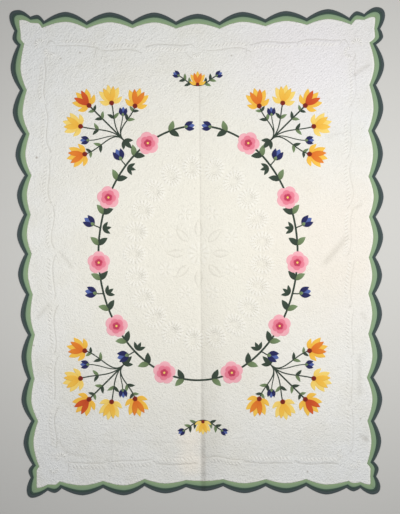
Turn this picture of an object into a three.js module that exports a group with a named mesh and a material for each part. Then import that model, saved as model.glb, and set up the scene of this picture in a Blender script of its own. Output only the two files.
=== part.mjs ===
// A hand-quilted bed quilt with scalloped sides, laid out flat with its face up.
// The white quilted cloth is one body, its quilting raised in the points of its face. Around it lie
// a sage band, a dark green band and a slate edge binding, each of four strips mitred at the corners.
// Lengths are millimetres. +Z is up and +Y is towards the head end. The origin lies on the
// underside, in the middle of the quilt's box.

import * as THREE from 'three';
import { ConvexHull } from 'three/addons/math/ConvexHull.js';

// The box that the whole quilt fills
const WIDTH = 1767;
const LENGTH = 2308;

// How far each band reaches in from the quilt's edge, at the crown of a scallop
const BINDING_DEPTH = 13.5;
const GREEN_DEPTH = 23;
const SAGE_DEPTH = 46;

// The bands are narrower in the notches, so this share of a depth applies there
const NOTCH_SHARE = 0.69;
const END_NOTCH_SHARE = 0.6;
const NARROW_CROWN_SHARE = 0.83;

// The notch next to a small scallop leans towards the corner by this share of the depth
const CORNER_LEAN = 0.22;

// The seam left open between two pieces, at a crown and at a mitre
const SEAM_GAP = 0.5;
const MITRE_GAP = 0.4;

// Power of the curve from a crown to a notch: 1 is a straight flank, 2 a parabola
const ROUNDNESS = 1.7;

// The round of a corner lobe tightens by this share of the depth, down to the least round
const LOBE_TIGHTENING = 0.65;
const LEAST_ROUND = 5;

// Straight steps in each half of a scallop, in the three narrow halves next to a corner (half of its
// lobe and the small scallop beside it), and around the corner
const SCALLOP_STEPS = 3;
const NARROW_STEPS = 2;
const NARROW_HALVES = 3;
const CORNER_STEPS = 4;

// Thickness of the cloth at each line across the border
const BINDING_EDGE_HEIGHT = 2.6;
const BINDING_HEIGHT = 3.4;
const GREEN_HEIGHT = 3.6;
const SAGE_HEIGHT = 3.8;
const GROUND_EDGE_HEIGHT = 3.6;
const GROUND_HEIGHT = 4.4;

// The white cloth swells to its full thickness this far inside its edge
const EDGE_SWELL = 9;

// Quilting relief: the puff between stitched lines, and how deep a stitched line sinks
const PUFF = 1.8;
const STITCH_SINK = 0.7;

// Where a rosette's rings lie, as shares of its radius: the line around its button, the crowns of
// its petals, the lines between the petals, and where those lines end between the petals' tips
const BUTTON_RING = 0.26;
const PETAL_RING = 0.66;
const GROOVE_RING = 0.63;
const GROOVE_END_RING = 0.92;

// The rope border: two stitched lines with a roll between them, in lengths with a gap between
const ROPE_WIDTH = 24;
const ROPE_MARGIN = 10;
const ROPE_SECTION_LENGTH = 27;
const FAN_PETALS = 8;

// The ring of feather rosettes around the middle
const RING_CENTRE = [6, -5];
const RING_HALF_WIDTH = 302;
const RING_HALF_LENGTH = 407;
const RING_ROSETTES = 21;
const RING_START_TURN = 0.53;
const ROSETTE_RADIUS = 51;
const ROSETTE_PETALS = 17;

// The sprays in the middle: a flower, leaves around it, and a floret beyond each gap
const MIDDLE_FLOWER_RADIUS = 52;
const MIDDLE_FLOWER_PETALS = 10;
const SPRAYS = 8;
const SPRAY_STRETCH = 1.18;
const LEAF_START = 64;
const LEAF_LENGTH = 88;
const LEAF_WIDTH = 34;
const LEAF_STATIONS = [0.2, 0.5, 0.8];
const LEAF_FULLNESS = 0.85;
const FLORET_DISTANCE = 168;
const FLORET_RADIUS = 30;
const FLORET_PETALS = 6;

// The fold down the middle, faint near the head and sharper towards the foot. It leans a little.
const FOLD_X = 16.5;
const FOLD_LEAN = -0.0082;
const FOLD_TOP = 850;
const FOLD_DEPTH = 1.9;
const FOLD_FAINT_SHARE = 0.35;
const FOLD_REACH = 26;
const FOLD_SPACING = 55;

// Spacing of the plain points between the quilted figures, and the room they keep from those
const PLAIN_SPACING = 92;
const PLAIN_ROOM = 46;
const FOLD_ROOM = 15;

// The slow swell of the cloth: its height, its lengths across and along, and where it starts
const SWELL_HEIGHT = 0.45;
const SWELL_ACROSS = 190;
const SWELL_ALONG = 240;
const SWELL_START = 0.6;

// A hair's breadth of unevenness keeps the face's net free of ties between equal neighbours
const HAIR = 0.02;

// The scallops of each side, in order around the quilt, clockwise as seen from above.
// width: from this row's first notch to the next row's, along the side.
// notch, crown: how far the row's first notch and its crown lie inside the quilt's box.
const HEAD_ROWS = [
  { width: 65, notch: 46, crown: 37 },
  { width: 200, notch: 66, crown: 23 },
  { width: 215, notch: 69, crown: 25 },
  { width: 205, notch: 67, crown: 26 },
  { width: 205, notch: 69, crown: 32 },
  { width: 215, notch: 70, crown: 23 },
  { width: 195, notch: 58, crown: 19 },
  { width: 200, notch: 52, crown: 10 },
  { width: 70, notch: 51, crown: 20 },
];
const RIGHT_ROWS = [
  { width: 75, notch: 23, crown: 9 },
  { width: 190, notch: 42, crown: 4 },
  { width: 215, notch: 42, crown: 8 },
  { width: 215, notch: 48, crown: 10 },
  { width: 190, notch: 46, crown: 7 },
  { width: 190, notch: 44, crown: 9 },
  { width: 170, notch: 45, crown: 14 },
  { width: 190, notch: 47, crown: 14 },
  { width: 205, notch: 47, crown: 13 },
  { width: 205, notch: 54, crown: 13 },
  { width: 190, notch: 51, crown: 18 },
  { width: 70, notch: 53, crown: 30 },
];
const FOOT_ROWS = [
  { width: 65, notch: 46, crown: 31 },
  { width: 190, notch: 47, crown: 16 },
  { width: 190, notch: 56, crown: 22 },
  { width: 200, notch: 55, crown: 22 },
  { width: 175, notch: 55, crown: 32 },
  { width: 195, notch: 51, crown: 21 },
  { width: 195, notch: 56, crown: 12 },
  { width: 195, notch: 47, crown: 12 },
  { width: 65, notch: 45, crown: 23 },
];
const LEFT_ROWS = [
  { width: 60, notch: 101, crown: 90 },
  { width: 205, notch: 109, crown: 67 },
  { width: 200, notch: 103, crown: 57 },
  { width: 205, notch: 86, crown: 57 },
  { width: 190, notch: 88, crown: 53 },
  { width: 190, notch: 78, crown: 41 },
  { width: 185, notch: 73, crown: 36 },
  { width: 185, notch: 68, crown: 36 },
  { width: 195, notch: 72, crown: 29 },
  { width: 205, notch: 63, crown: 16 },
  { width: 210, notch: 50, crown: 6 },
  { width: 70, notch: 38, crown: 15 },
];

// The lengths of rope along each side.
// from, to: where a length starts and ends along the side.
// insets: how far in its middle lies at its start, a third and two thirds along, and at its end.
const HEAD_ROPES = [
  { from: 222, to: 406, insets: [169, 169, 170, 179] },
  { from: 434, to: 603, insets: [193, 191, 187, 196] },
  { from: 645, to: 852, insets: [199, 188, 192, 188] },
  { from: 923, to: 1120, insets: [190, 189, 179, 191] },
  { from: 1143, to: 1341, insets: [190, 175, 178, 177] },
  { from: 1360, to: 1548, insets: [178, 164, 167, 167] },
];
const RIGHT_ROPES = [
  { from: 252, to: 454, insets: [147, 154, 149, 170] },
  { from: 492, to: 694, insets: [164, 176, 173, 182] },
  { from: 722, to: 929, insets: [168, 177, 163, 179] },
  { from: 952, to: 1154, insets: [162, 175, 172, 182] },
  { from: 1197, to: 1389, insets: [158, 168, 176, 168] },
  { from: 1432, to: 1629, insets: [161, 169, 167, 163] },
  { from: 1667, to: 1855, insets: [173, 165, 169, 172] },
  { from: 1892, to: 2071, insets: [169, 163, 163, 165] },
];
const FOOT_ROPES = [
  { from: 219, to: 407, insets: [171, 175, 171, 178] },
  { from: 436, to: 652, insets: [175, 177, 176, 183] },
  { from: 680, to: 830, insets: [171, 171, 182, 176] },
  { from: 882, to: 1070, insets: [177, 171, 169, 174] },
  { from: 1098, to: 1291, insets: [169, 162, 162, 157] },
  { from: 1319, to: 1493, insets: [151, 151, 152, 155] },
];
const LEFT_ROPES = [
  { from: 232, to: 402, insets: [206, 210, 201, 208] },
  { from: 463, to: 651, insets: [199, 203, 200, 212] },
  { from: 679, to: 890, insets: [200, 207, 198, 210] },
  { from: 933, to: 1125, insets: [202, 199, 192, 199] },
  { from: 1172, to: 1360, insets: [199, 186, 197, 194] },
  { from: 1384, to: 1581, insets: [185, 170, 176, 175] },
  { from: 1633, to: 1840, insets: [180, 162, 168, 156] },
  { from: 1873, to: 2051, insets: [156, 151, 158, 152] },
];

// The small fans in the corners, and the one under the head's rope
const FANS = [
  { x: -741, y: 979, radius: 27 },
  { x: -694, y: 944, radius: 27 },
  { x: 750, y: 982, radius: 26 },
  { x: 714, y: 941, radius: 26 },
  { x: 677, y: -945, radius: 22 },
  { x: 742, y: -990, radius: 26 },
  { x: -640, y: -966, radius: 24 },
  { x: -675, y: -1020, radius: 22 },
  { x: -3, y: 937, radius: 22 },
];

// Each side starts at a corner of the box and runs along it.
// lobes: how far in the corner lobe at each end has its crown, and how far it rounds the corner.
const SIDES = [
  {
    name: 'head',
    length: WIDTH,
    corner: new THREE.Vector2(-WIDTH / 2, LENGTH / 2),
    along: new THREE.Vector2(1, 0),
    inward: new THREE.Vector2(0, -1),
    lobes: [{ inset: 14, round: 44 }, { inset: 0, round: 41 }],
    firstNotch: 99,
    lastNotchInset: 33,
    rows: HEAD_ROWS,
    ropes: HEAD_ROPES,
  },
  {
    name: 'right',
    length: LENGTH,
    corner: new THREE.Vector2(WIDTH / 2, LENGTH / 2),
    along: new THREE.Vector2(0, -1),
    inward: new THREE.Vector2(-1, 0),
    lobes: [{ inset: 0, round: 40 }, { inset: 22, round: 38 }],
    firstNotch: 102,
    lastNotchInset: 42,
    rows: RIGHT_ROWS,
    ropes: RIGHT_ROPES,
  },
  {
    name: 'foot',
    length: WIDTH,
    corner: new THREE.Vector2(WIDTH / 2, -LENGTH / 2),
    along: new THREE.Vector2(-1, 0),
    inward: new THREE.Vector2(0, 1),
    lobes: [{ inset: 16, round: 38 }, { inset: 0, round: 27 }],
    firstNotch: 116,
    lastNotchInset: 35,
    rows: FOOT_ROWS,
    ropes: FOOT_ROPES,
  },
  {
    name: 'left',
    length: LENGTH,
    corner: new THREE.Vector2(-WIDTH / 2, -LENGTH / 2),
    along: new THREE.Vector2(0, 1),
    inward: new THREE.Vector2(1, 0),
    lobes: [{ inset: 82, round: 39 }, { inset: 0, round: 34 }],
    firstNotch: 96,
    lastNotchInset: 24,
    rows: LEFT_ROWS,
    ropes: LEFT_ROPES,
  },
];

function pointOnSide(side, { along, inset }) {
  return side.corner.clone().addScaledVector(side.along, along).addScaledVector(side.inward, inset);
}

function sideBefore(side) {
  return SIDES[(SIDES.indexOf(side) + SIDES.length - 1) % SIDES.length];
}

function sideAfter(side) {
  return SIDES[(SIDES.indexOf(side) + 1) % SIDES.length];
}

// The crown of the corner lobe at a side's start or end
function lobeCrown(side, isStart, depth) {
  const lobe = isStart ? side.lobes[0] : side.lobes[1];
  const neighbour = isStart ? sideBefore(side).lobes[1] : sideAfter(side).lobes[0];
  const round = Math.max(lobe.round - LOBE_TIGHTENING * depth, LEAST_ROUND);
  const fromCorner = neighbour.inset + depth + round;
  return { along: isStart ? fromCorner : side.length - fromCorner, inset: lobe.inset + depth };
}

// The crowns and notches of a side at a depth inside the edge: crown, notch, crown and so on
function crownsAndNotches(side, depth) {
  const marks = [lobeCrown(side, true, depth)];
  const last = side.rows.length - 1;
  const lean = CORNER_LEAN * depth;
  let along = side.firstNotch;
  side.rows.forEach((row, i) => {
    const notchShare = i === 0 ? END_NOTCH_SHARE : NOTCH_SHARE;
    const crownShare = i === 0 || i === last ? NARROW_CROWN_SHARE : 1;
    const notchLean = (i === last ? lean : 0) - (i === 1 ? lean : 0);
    marks.push({ along: along + notchLean, inset: row.notch + depth * notchShare });
    marks.push({ along: along + row.width / 2, inset: row.crown + depth * crownShare });
    along += row.width;
  });
  marks.push({ along, inset: side.lastNotchInset + depth * END_NOTCH_SHARE });
  marks.push(lobeCrown(side, false, depth));
  return marks;
}

// A point on the rounded corner before a side, from 0 on the previous side's lobe to 1 on this one's
function cornerPoint(side, depth, t) {
  const before = sideBefore(side);
  const from = lobeCrown(before, false, depth);
  const to = lobeCrown(side, true, depth);
  const tip = { along: from.inset, inset: to.inset };
  const curve = new THREE.QuadraticBezierCurve(
    pointOnSide(before, from),
    pointOnSide(side, tip),
    pointOnSide(side, to),
  );
  return curve.getPoint(t);
}

// The edge of one side at a depth, from the mitre before it to the mitre after it
function edgeOfSide(side, depth) {
  const points = [];
  for (let i = CORNER_STEPS / 2; i < CORNER_STEPS; i += 1) {
    points.push(cornerPoint(side, depth, i / CORNER_STEPS));
  }
  const marks = crownsAndNotches(side, depth);
  const halves = marks.length - 1;
  for (let i = 0; i < halves; i += 1) {
    const towardsNotch = i % 2 === 0;
    const crown = towardsNotch ? marks[i] : marks[i + 1];
    const notch = towardsNotch ? marks[i + 1] : marks[i];
    const narrow = i < NARROW_HALVES || i >= halves - NARROW_HALVES;
    const steps = narrow ? NARROW_STEPS : SCALLOP_STEPS;
    for (let step = 0; step < steps; step += 1) {
      const away = towardsNotch ? step / steps : 1 - step / steps;
      points.push(pointOnSide(side, {
        along: THREE.MathUtils.lerp(crown.along, notch.along, away),
        inset: THREE.MathUtils.lerp(crown.inset, notch.inset, away ** ROUNDNESS),
      }));
    }
  }
  for (let i = 0; i <= CORNER_STEPS / 2; i += 1) {
    points.push(cornerPoint(sideAfter(side), depth, i / CORNER_STEPS));
  }
  return points;
}

// The whole edge at a depth, closed, clockwise as seen from above
function edgeLoop(depth) {
  return SIDES.flatMap((side) => edgeOfSide(side, depth).slice(0, -1));
}

function solidGeometry(vertices, triangles) {
  const geometry = new THREE.BufferGeometry();
  geometry.setAttribute('position', new THREE.Float32BufferAttribute(vertices.flat(), 3));
  geometry.setIndex(triangles.flat());
  geometry.computeVertexNormals();
  return geometry;
}

// A strip's end stands a little back from the mitre
function standBack(points) {
  const count = points.length;
  const first = points[0].clone();
  const last = points[count - 1].clone();
  first.add(points[1].clone().sub(points[0]).setLength(MITRE_GAP / 2));
  last.add(points[count - 2].clone().sub(points[count - 1]).setLength(MITRE_GAP / 2));
  return [first, ...points.slice(1, -1), last];
}

// One strip of a band between two depths, flat below and with its own height along each edge
function bandStrip(side, outer, inner) {
  const outerPoints = standBack(edgeOfSide(side, outer.depth));
  const innerPoints = standBack(edgeOfSide(side, inner.depth));
  const vertices = [];
  const triangles = [];
  outerPoints.forEach((out, i) => {
    const into = innerPoints[i];
    vertices.push([out.x, out.y, 0], [out.x, out.y, outer.height]);
    vertices.push([into.x, into.y, inner.height], [into.x, into.y, 0]);
  });
  const corners = 4;
  for (let i = 0; i + 1 < outerPoints.length; i += 1) {
    for (let k = 0; k < corners; k += 1) {
      const a = i * corners + k;
      const b = i * corners + ((k + 1) % corners);
      triangles.push([a, b, b + corners], [a, b + corners, a + corners]);
    }
  }
  const end = (outerPoints.length - 1) * corners;
  triangles.push([0, 2, 1], [0, 3, 2]);
  triangles.push([end, end + 1, end + 2], [end, end + 2, end + 3]);
  return solidGeometry(vertices, triangles);
}

// Where the fold's line is across the cloth, at a place along it
function foldLineAt(y) {
  return FOLD_X + FOLD_LEAN * y;
}

// How deep the fold is at a point: deepest on its line, and deeper towards the foot
function foldDepthAt(x, y) {
  const down = THREE.MathUtils.smoothstep(FOLD_TOP - y, 0, FOLD_TOP);
  const across = 1 - THREE.MathUtils.smoothstep(Math.abs(x - foldLineAt(y)), 0, FOLD_REACH);
  const strength = y < FOLD_TOP ? THREE.MathUtils.lerp(FOLD_FAINT_SHARE, 1, down) : 0;
  return FOLD_DEPTH * strength * across;
}

// The slow rise and fall of the whole cloth
function swellAt(x, y) {
  return SWELL_HEIGHT * Math.sin(x / SWELL_ACROSS + SWELL_START) * Math.cos(y / SWELL_ALONG);
}

// A smooth curve's value at t, from 0 to 1, through four values a third apart
function throughFour([a, b, c, d], t) {
  const u = 3 * t;
  return (
    (-a * (u - 1) * (u - 2) * (u - 3)) / 6
    + (b * u * (u - 2) * (u - 3)) / 2
    - (c * u * (u - 1) * (u - 3)) / 2
    + (d * u * (u - 1) * (u - 2)) / 6
  );
}

// The face's points, each with its lift above the plain cloth
class QuiltedFace {
  constructor(outline) {
    this.outline = outline;
    this.points = [];
  }

  add(x, y, lift) {
    this.points.push({ x, y, lift });
  }

  isClear(x, y, room) {
    return this.points.every((point) => Math.hypot(point.x - x, point.y - y) > room);
  }

  // Petals in a ring around a button: puffed down each petal's middle, stitched down between them
  addRosette(x, y, radius, petals) {
    const ring = (share, count, turn, lift) => {
      for (let i = 0; i < count; i += 1) {
        const angle = ((i + turn) * 2 * Math.PI) / count;
        this.add(x + share * radius * Math.cos(angle), y + share * radius * Math.sin(angle), lift);
      }
    };
    this.add(x, y, PUFF / 2);
    ring(BUTTON_RING, Math.ceil(petals / 2), 0, -STITCH_SINK);
    ring(PETAL_RING, petals, 0, PUFF);
    ring(GROOVE_RING, petals, 0.5, -STITCH_SINK / 2);
    ring(1, petals, 0, -STITCH_SINK / 2);
    ring(GROOVE_END_RING, petals, 0.5, -STITCH_SINK);
  }

  // A pointed leaf: puffed down its middle and stitched down around its edge
  addLeaf(x, y, angle, length, width) {
    const place = (forward, sideways, lift) => {
      this.add(
        x + forward * Math.cos(angle) - sideways * Math.sin(angle),
        y + forward * Math.sin(angle) + sideways * Math.cos(angle),
        lift,
      );
    };
    place(0, 0, -STITCH_SINK);
    place(length, 0, -STITCH_SINK);
    LEAF_STATIONS.forEach((share) => {
      const half = (width / 2) * Math.sin(Math.PI * share ** LEAF_FULLNESS);
      place(share * length, half, -STITCH_SINK);
      place(share * length, 0, PUFF);
      place(share * length, -half, -STITCH_SINK);
    });
  }

  // One length of rope, its ends drawn in to a point
  addRope(side, { from, to, insets }) {
    const sections = Math.round((to - from) / ROPE_SECTION_LENGTH);
    for (let i = 0; i <= sections; i += 1) {
      const t = i / sections;
      const along = THREE.MathUtils.lerp(from, to, t);
      const middle = throughFour(insets, t);
      const half = ROPE_WIDTH / 2;
      const isEnd = i === 0 || i === sections;
      const across = isEnd
        ? [[-half, 0], [0, -STITCH_SINK], [half, 0]]
        : [
          [-half - ROPE_MARGIN, 0],
          [-half, -STITCH_SINK],
          [0, PUFF],
          [half, -STITCH_SINK],
          [half + ROPE_MARGIN, 0],
        ];
      across.forEach(([sideways, lift]) => {
        const point = pointOnSide(side, { along, inset: middle + sideways });
        this.add(point.x, point.y, lift);
      });
    }
  }

  // Rosettes evenly spaced along the oval
  addRosetteRing() {
    const oval = new THREE.EllipseCurve(...RING_CENTRE, RING_HALF_WIDTH, RING_HALF_LENGTH);
    for (let i = 0; i < RING_ROSETTES; i += 1) {
      const point = oval.getPointAt(((i + RING_START_TURN) / RING_ROSETTES) % 1);
      this.addRosette(point.x, point.y, ROSETTE_RADIUS, ROSETTE_PETALS);
    }
  }

  addMiddleSprays() {
    const [x, y] = RING_CENTRE;
    this.addRosette(x, y, MIDDLE_FLOWER_RADIUS, MIDDLE_FLOWER_PETALS);
    for (let i = 0; i < SPRAYS; i += 1) {
      const leafAngle = (i * 2 * Math.PI) / SPRAYS;
      const floretAngle = ((i + 0.5) * 2 * Math.PI) / SPRAYS;
      this.addLeaf(
        x + LEAF_START * Math.cos(leafAngle),
        y + LEAF_START * SPRAY_STRETCH * Math.sin(leafAngle),
        leafAngle,
        LEAF_LENGTH,
        LEAF_WIDTH,
      );
      this.addRosette(
        x + FLORET_DISTANCE * Math.cos(floretAngle),
        y + FLORET_DISTANCE * SPRAY_STRETCH * Math.sin(floretAngle),
        FLORET_RADIUS,
        FLORET_PETALS,
      );
    }
  }

  // Rows of points that carry the fold between the quilted figures
  addFold() {
    for (let y = -LENGTH / 2; y < FOLD_TOP; y += FOLD_SPACING) {
      [0, -FOLD_REACH, FOLD_REACH].forEach((across) => {
        const x = foldLineAt(y) + across;
        if (isInside(this.outline, x, y) && this.isClear(x, y, FOLD_ROOM)) {
          this.add(x, y, 0);
        }
      });
    }
  }

  // Plain points in staggered rows wherever no figure is near
  addPlainCloth() {
    const rowSpacing = PLAIN_SPACING * Math.sin(Math.PI / 3);
    const rows = Math.ceil(LENGTH / 2 / rowSpacing);
    const columns = Math.ceil(WIDTH / 2 / PLAIN_SPACING);
    for (let row = -rows; row <= rows; row += 1) {
      for (let column = -columns; column <= columns; column += 1) {
        const x = (column + (row % 2) / 2) * PLAIN_SPACING;
        const y = row * rowSpacing;
        if (isInside(this.outline, x, y) && this.isClear(x, y, PLAIN_ROOM)) {
          this.add(x, y, 0);
        }
      }
    }
  }
}

function isInside(loop, x, y) {
  let inside = false;
  loop.forEach((a, i) => {
    const b = loop[(i + 1) % loop.length];
    const crosses = a.y > y !== b.y > y;
    if (crosses && x < a.x + ((b.x - a.x) * (y - a.y)) / (b.y - a.y)) {
      inside = !inside;
    }
  });
  return inside;
}

// Triangles that join nearest neighbours: the points are lifted onto a paraboloid, where the
// underside of their hull is that net. They turn counter-clockwise as seen from above.
function joinNeighbours(points) {
  const metre = 1000;
  const raised = points.map(({ x, y }) => (
    new THREE.Vector3(x / metre, y / metre, (x * x + y * y) / metre ** 2)
  ));
  const order = new Map(raised.map((point, i) => [point, i]));
  const hull = new ConvexHull().setFromPoints(raised);
  return hull.faces
    .filter((face) => face.normal.z < 0)
    .map((face) => {
      const edge = face.edge;
      const corners = [edge.head(), edge.next.head(), edge.next.next.head()];
      return corners.map((corner) => order.get(corner.point)).reverse();
    });
}

// The white cloth: flat below, upright at its edge, and quilted on its face
function quiltedGround() {
  const outline = edgeLoop(SAGE_DEPTH + SEAM_GAP);
  const face = new QuiltedFace(outline);
  outline.forEach((point) => face.add(point.x, point.y, GROUND_EDGE_HEIGHT - GROUND_HEIGHT));
  edgeLoop(SAGE_DEPTH + SEAM_GAP + EDGE_SWELL).forEach((point) => face.add(point.x, point.y, 0));
  SIDES.forEach((side) => side.ropes.forEach((rope) => face.addRope(side, rope)));
  FANS.forEach(({ x, y, radius }) => face.addRosette(x, y, radius, FAN_PETALS));
  face.addRosetteRing();
  face.addMiddleSprays();
  face.addFold();
  face.addPlainCloth();

  const uneven = face.points.map((point, i) => ({
    x: point.x + HAIR * Math.sin(i * i),
    y: point.y + HAIR * Math.cos(i * i),
  }));
  const top = joinNeighbours(uneven).filter((corners) => {
    const x = corners.reduce((sum, i) => sum + uneven[i].x, 0) / 3;
    const y = corners.reduce((sum, i) => sum + uneven[i].y, 0) / 3;
    return isInside(outline, x, y);
  });

  const vertices = face.points.map(({ lift }, i) => {
    const { x, y } = uneven[i];
    return [x, y, GROUND_HEIGHT + lift + swellAt(x, y) - foldDepthAt(x, y)];
  });
  const firstBelow = vertices.length;
  const rim = uneven.slice(0, outline.length);
  rim.forEach(({ x, y }) => vertices.push([x, y, 0]));

  // The outline runs clockwise, so the underside's triangles are turned to face down
  const contour = rim.map(({ x, y }) => new THREE.Vector2(x, y));
  const below = THREE.ShapeUtils.triangulateShape(contour, []).map(([a, b, c]) => {
    const turn = contour[b].clone().sub(contour[a]).cross(contour[c].clone().sub(contour[a]));
    const corners = turn > 0 ? [a, c, b] : [a, b, c];
    return corners.map((i) => i + firstBelow);
  });
  const sides = rim.flatMap((point, i) => {
    const j = (i + 1) % rim.length;
    return [[i, j, j + firstBelow], [i, j + firstBelow, i + firstBelow]];
  });
  return solidGeometry(vertices, [...top, ...below, ...sides]);
}

function cloth(name, color, geometry) {
  const material = new THREE.MeshStandardMaterial({ color, roughness: 0.95, metalness: 0 });
  const mesh = new THREE.Mesh(geometry, material);
  mesh.name = name;
  return mesh;
}

const WHITE = 0xe9e8e0;
const SAGE = 0x86a178;
const GREEN = 0x2f4f42;
const SLATE = 0x455052;

const quilt = new THREE.Group();
quilt.add(cloth('quilt_ground', WHITE, quiltedGround()));
SIDES.forEach((side) => {
  quilt.add(cloth(`sage_${side.name}`, SAGE, bandStrip(
    side,
    { depth: GREEN_DEPTH + SEAM_GAP, height: SAGE_HEIGHT },
    { depth: SAGE_DEPTH, height: SAGE_HEIGHT },
  )));
  quilt.add(cloth(`green_${side.name}`, GREEN, bandStrip(
    side,
    { depth: BINDING_DEPTH + SEAM_GAP, height: GREEN_HEIGHT },
    { depth: GREEN_DEPTH, height: GREEN_HEIGHT },
  )));
  quilt.add(cloth(`binding_${side.name}`, SLATE, bandStrip(
    side,
    { depth: 0, height: BINDING_EDGE_HEIGHT },
    { depth: BINDING_DEPTH, height: BINDING_HEIGHT },
  )));
});

export default quilt;
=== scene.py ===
"""A hand-quilted bed quilt with scalloped sides, laid out flat and seen from straight above.

Lengths are millimetres until a mesh is made, and the frame is the solids' own: +X to the right,
+Y towards the head end, +Z up, with the origin on the underside in the middle of the quilt's box.
"""

import math

import bpy
import numpy as np
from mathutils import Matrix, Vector
from mathutils.bvhtree import BVHTree
from mathutils.geometry import delaunay_2d_cdt, interpolate_bezier


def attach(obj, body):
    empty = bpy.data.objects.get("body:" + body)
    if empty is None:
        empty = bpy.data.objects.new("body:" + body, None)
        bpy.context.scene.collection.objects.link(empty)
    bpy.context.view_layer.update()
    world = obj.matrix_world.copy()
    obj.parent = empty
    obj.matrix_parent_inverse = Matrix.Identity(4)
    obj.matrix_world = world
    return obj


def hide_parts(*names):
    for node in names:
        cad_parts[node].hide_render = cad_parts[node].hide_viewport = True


MM = 0.001

# The box that the whole quilt fills, and how far each band reaches in from its edge at a crown
WIDTH = 1767
LENGTH = 2308
BINDING_DEPTH = 13.5
GREEN_DEPTH = 23
SAGE_DEPTH = 46
SEAM_GAP = 0.5
MITRE_GAP = 0.4

# The bands are narrower in the notches, and the end notches lean towards the corner
NOTCH_SHARE = 0.69
END_NOTCH_SHARE = 0.6
NARROW_CROWN_SHARE = 0.83
CORNER_LEAN = 0.22
ROUNDNESS = 1.7
LOBE_TIGHTENING = 0.65
LEAST_ROUND = 5
SCALLOP_STEPS = 9
CORNER_STEPS = 10

# Thickness of the cloth, what the deepest fold leaves of it, and the quilting relief on it
GROUND_HEIGHT = 4.4
LEAST_HEIGHT = 0.6
GROUND_EDGE_HEIGHT = 2.9
PUFF = 1.8
STITCH_SINK = 0.7

# From one stitched line over a puff towards the next: height as a share of the whole
PUFF_LIFTS = [0, 0.85, 1, 0.85]

# Stitched lines get painted shade, partly soil, and puffs a painted highlight, lighter than plain
# cloth by this share of it
PUFF_HIGHLIGHT = 0.8

# The white cloth beside the sage band: how far inside its edge, how high above plain cloth, and its
# painted shading. It has a painted highlight there, and painted shade only in the seam.
EDGE_RINGS = [(1.5, -0.55, -0.5), (4, 0.25, -0.8), (8, 0.5, -0.4), (14, 0.1, 0)]
SEAM_SHADE = 0.4

# Across each band: share of the way from its outer to its inner edge, and height
BINDING_PROFILE = [
    (0.06, 0), (0, 0.8), (0, 1.7), (0.07, 2.6), (0.2, 3.2),
    (0.45, 3.6), (0.75, 3.5), (0.93, 3.0), (1, 2.3), (1, 0),
]
GREEN_PROFILE = [(0, 0), (0, 2.3), (0.12, 3.1), (0.35, 3.7), (0.65, 3.7), (0.88, 3.1), (1, 2.3), (1, 0)]
SAGE_PROFILE = [
    (0, 0), (0, 2.3), (0.06, 3.0), (0.2, 3.7), (0.5, 4.1), (0.8, 3.8), (0.94, 3.1), (1, 2.3), (1, 0),
]

# What a strip's cut is wider than it shows, where its edges turn down
TURNED_EDGE = 1

# Short and long puckers along a strip: share of its height and length, and the height they start at
PUCKERS = [(0.07, 9.7), (0.05, 23)]
PUCKERS_FROM = 2.5

# The rope border: a plain stitched line along one edge, fainter on the right side, and slanting
# strokes along the other
ROPE_WIDTH = 24
ROPE_ROOM = 8
ROPE_DRAWN = 0.75
FAINT_LINE = 0.6
STROKE_PITCH = 17.2
STROKE_SLANT = 0.8
STROKE_PIVOT = 0.3
LEAST_FULLNESS = 0.15

# Across a rope, from its plain line at -1 to its strokes' ends at 1: lift as a share of the puff
# (none where it is stitched down), and how much the stitches between the strokes press it down
ROPE_PROFILE = [
    (-2, 0, 0), (-1.4, 0.45, 0), (-1, None, 0), (-0.7, 0.5, 0), (-0.2, 0.85, 0),
    (0.15, 1, 0.5), (0.45, 1, 1), (0.8, 1, 1), (1.1, 0.6, 1), (1.35, 0, 0.3), (1.7, 0, 0),
]

# Past a rope's end its plain line runs on: how far along and how far inwards
ROPE_TAIL = [(5, 1), (10, 4), (15, 9)]
TAIL_ROOM = 12

# Plain cloth starts this far beside a stitched line
STITCH_ROOM = 5

# Hooks and curls of stitching between the ropes and the fans: three points on each
HOOKS = [
    ((-708, 972), (-688, 996), (-667, 974)), ((-484, 976), (-478, 950), (-484, 924)),
    ((-58, 954), (-45, 928), (-20, 912)), ((-23, 928), (14, 941), (36, 956)),
    ((229, 966), (231, 952), (230, 938)), ((671, 980), (690, 1001), (709, 979)),
    ((721, 946), (743, 932), (734, 905)), ((-606, -1000), (-604, -1013), (-606, -1027)),
    ((-695, -1009), (-679, -1033), (-656, -1028)),
]
HOOK_STEP = 6
HOOK_DRAWN = 0.6

# Small fans in the corners and under the head's rope: centre, radius and facing in degrees
FAN_PETALS = 6
FAN_SWEEP = 200
FANS = [
    ((-741, 979), 27, 135), ((-694, 944), 27, 240), ((750, 982), 26, 80), ((714, 941), 26, 185),
    ((677, -945), 22, 190), ((742, -990), 26, 300), ((-640, -966), 24, 120), ((-675, -1020), 22, 270),
    ((-3, 937), 22, 270),
]

# The ring of feather rosettes
RING_CENTRE = (6, -5)
RING_HALF_WIDTH = 302
RING_HALF_LENGTH = 407
RING_ROSETTES = 21
RING_START_TURN = 0.53
OVAL_STEPS = 720
ROSETTE_RADIUS = 51
ROSETTE_STRETCH = 1.1
ROSETTE_PETALS = 17
ROSETTE_PUFF = 2.6
CENTRE_RING = 0.16
CENTRE_LIFT = 0.3
GROOVE_REACH = 0.92

# Out along a rosette's petal: share of the way to its tip, lift as a share of the puff, and how
# tightly the stitching beside it is drawn
PETAL_RINGS = [(0.3, 0.15, 0.3), (0.46, 0.55, 0.6), (0.64, 0.95, 0.85), (0.84, 1, 0.9), (1, 0.35, 0.6)]
FLAT_PAST_PETALS = 4

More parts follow.
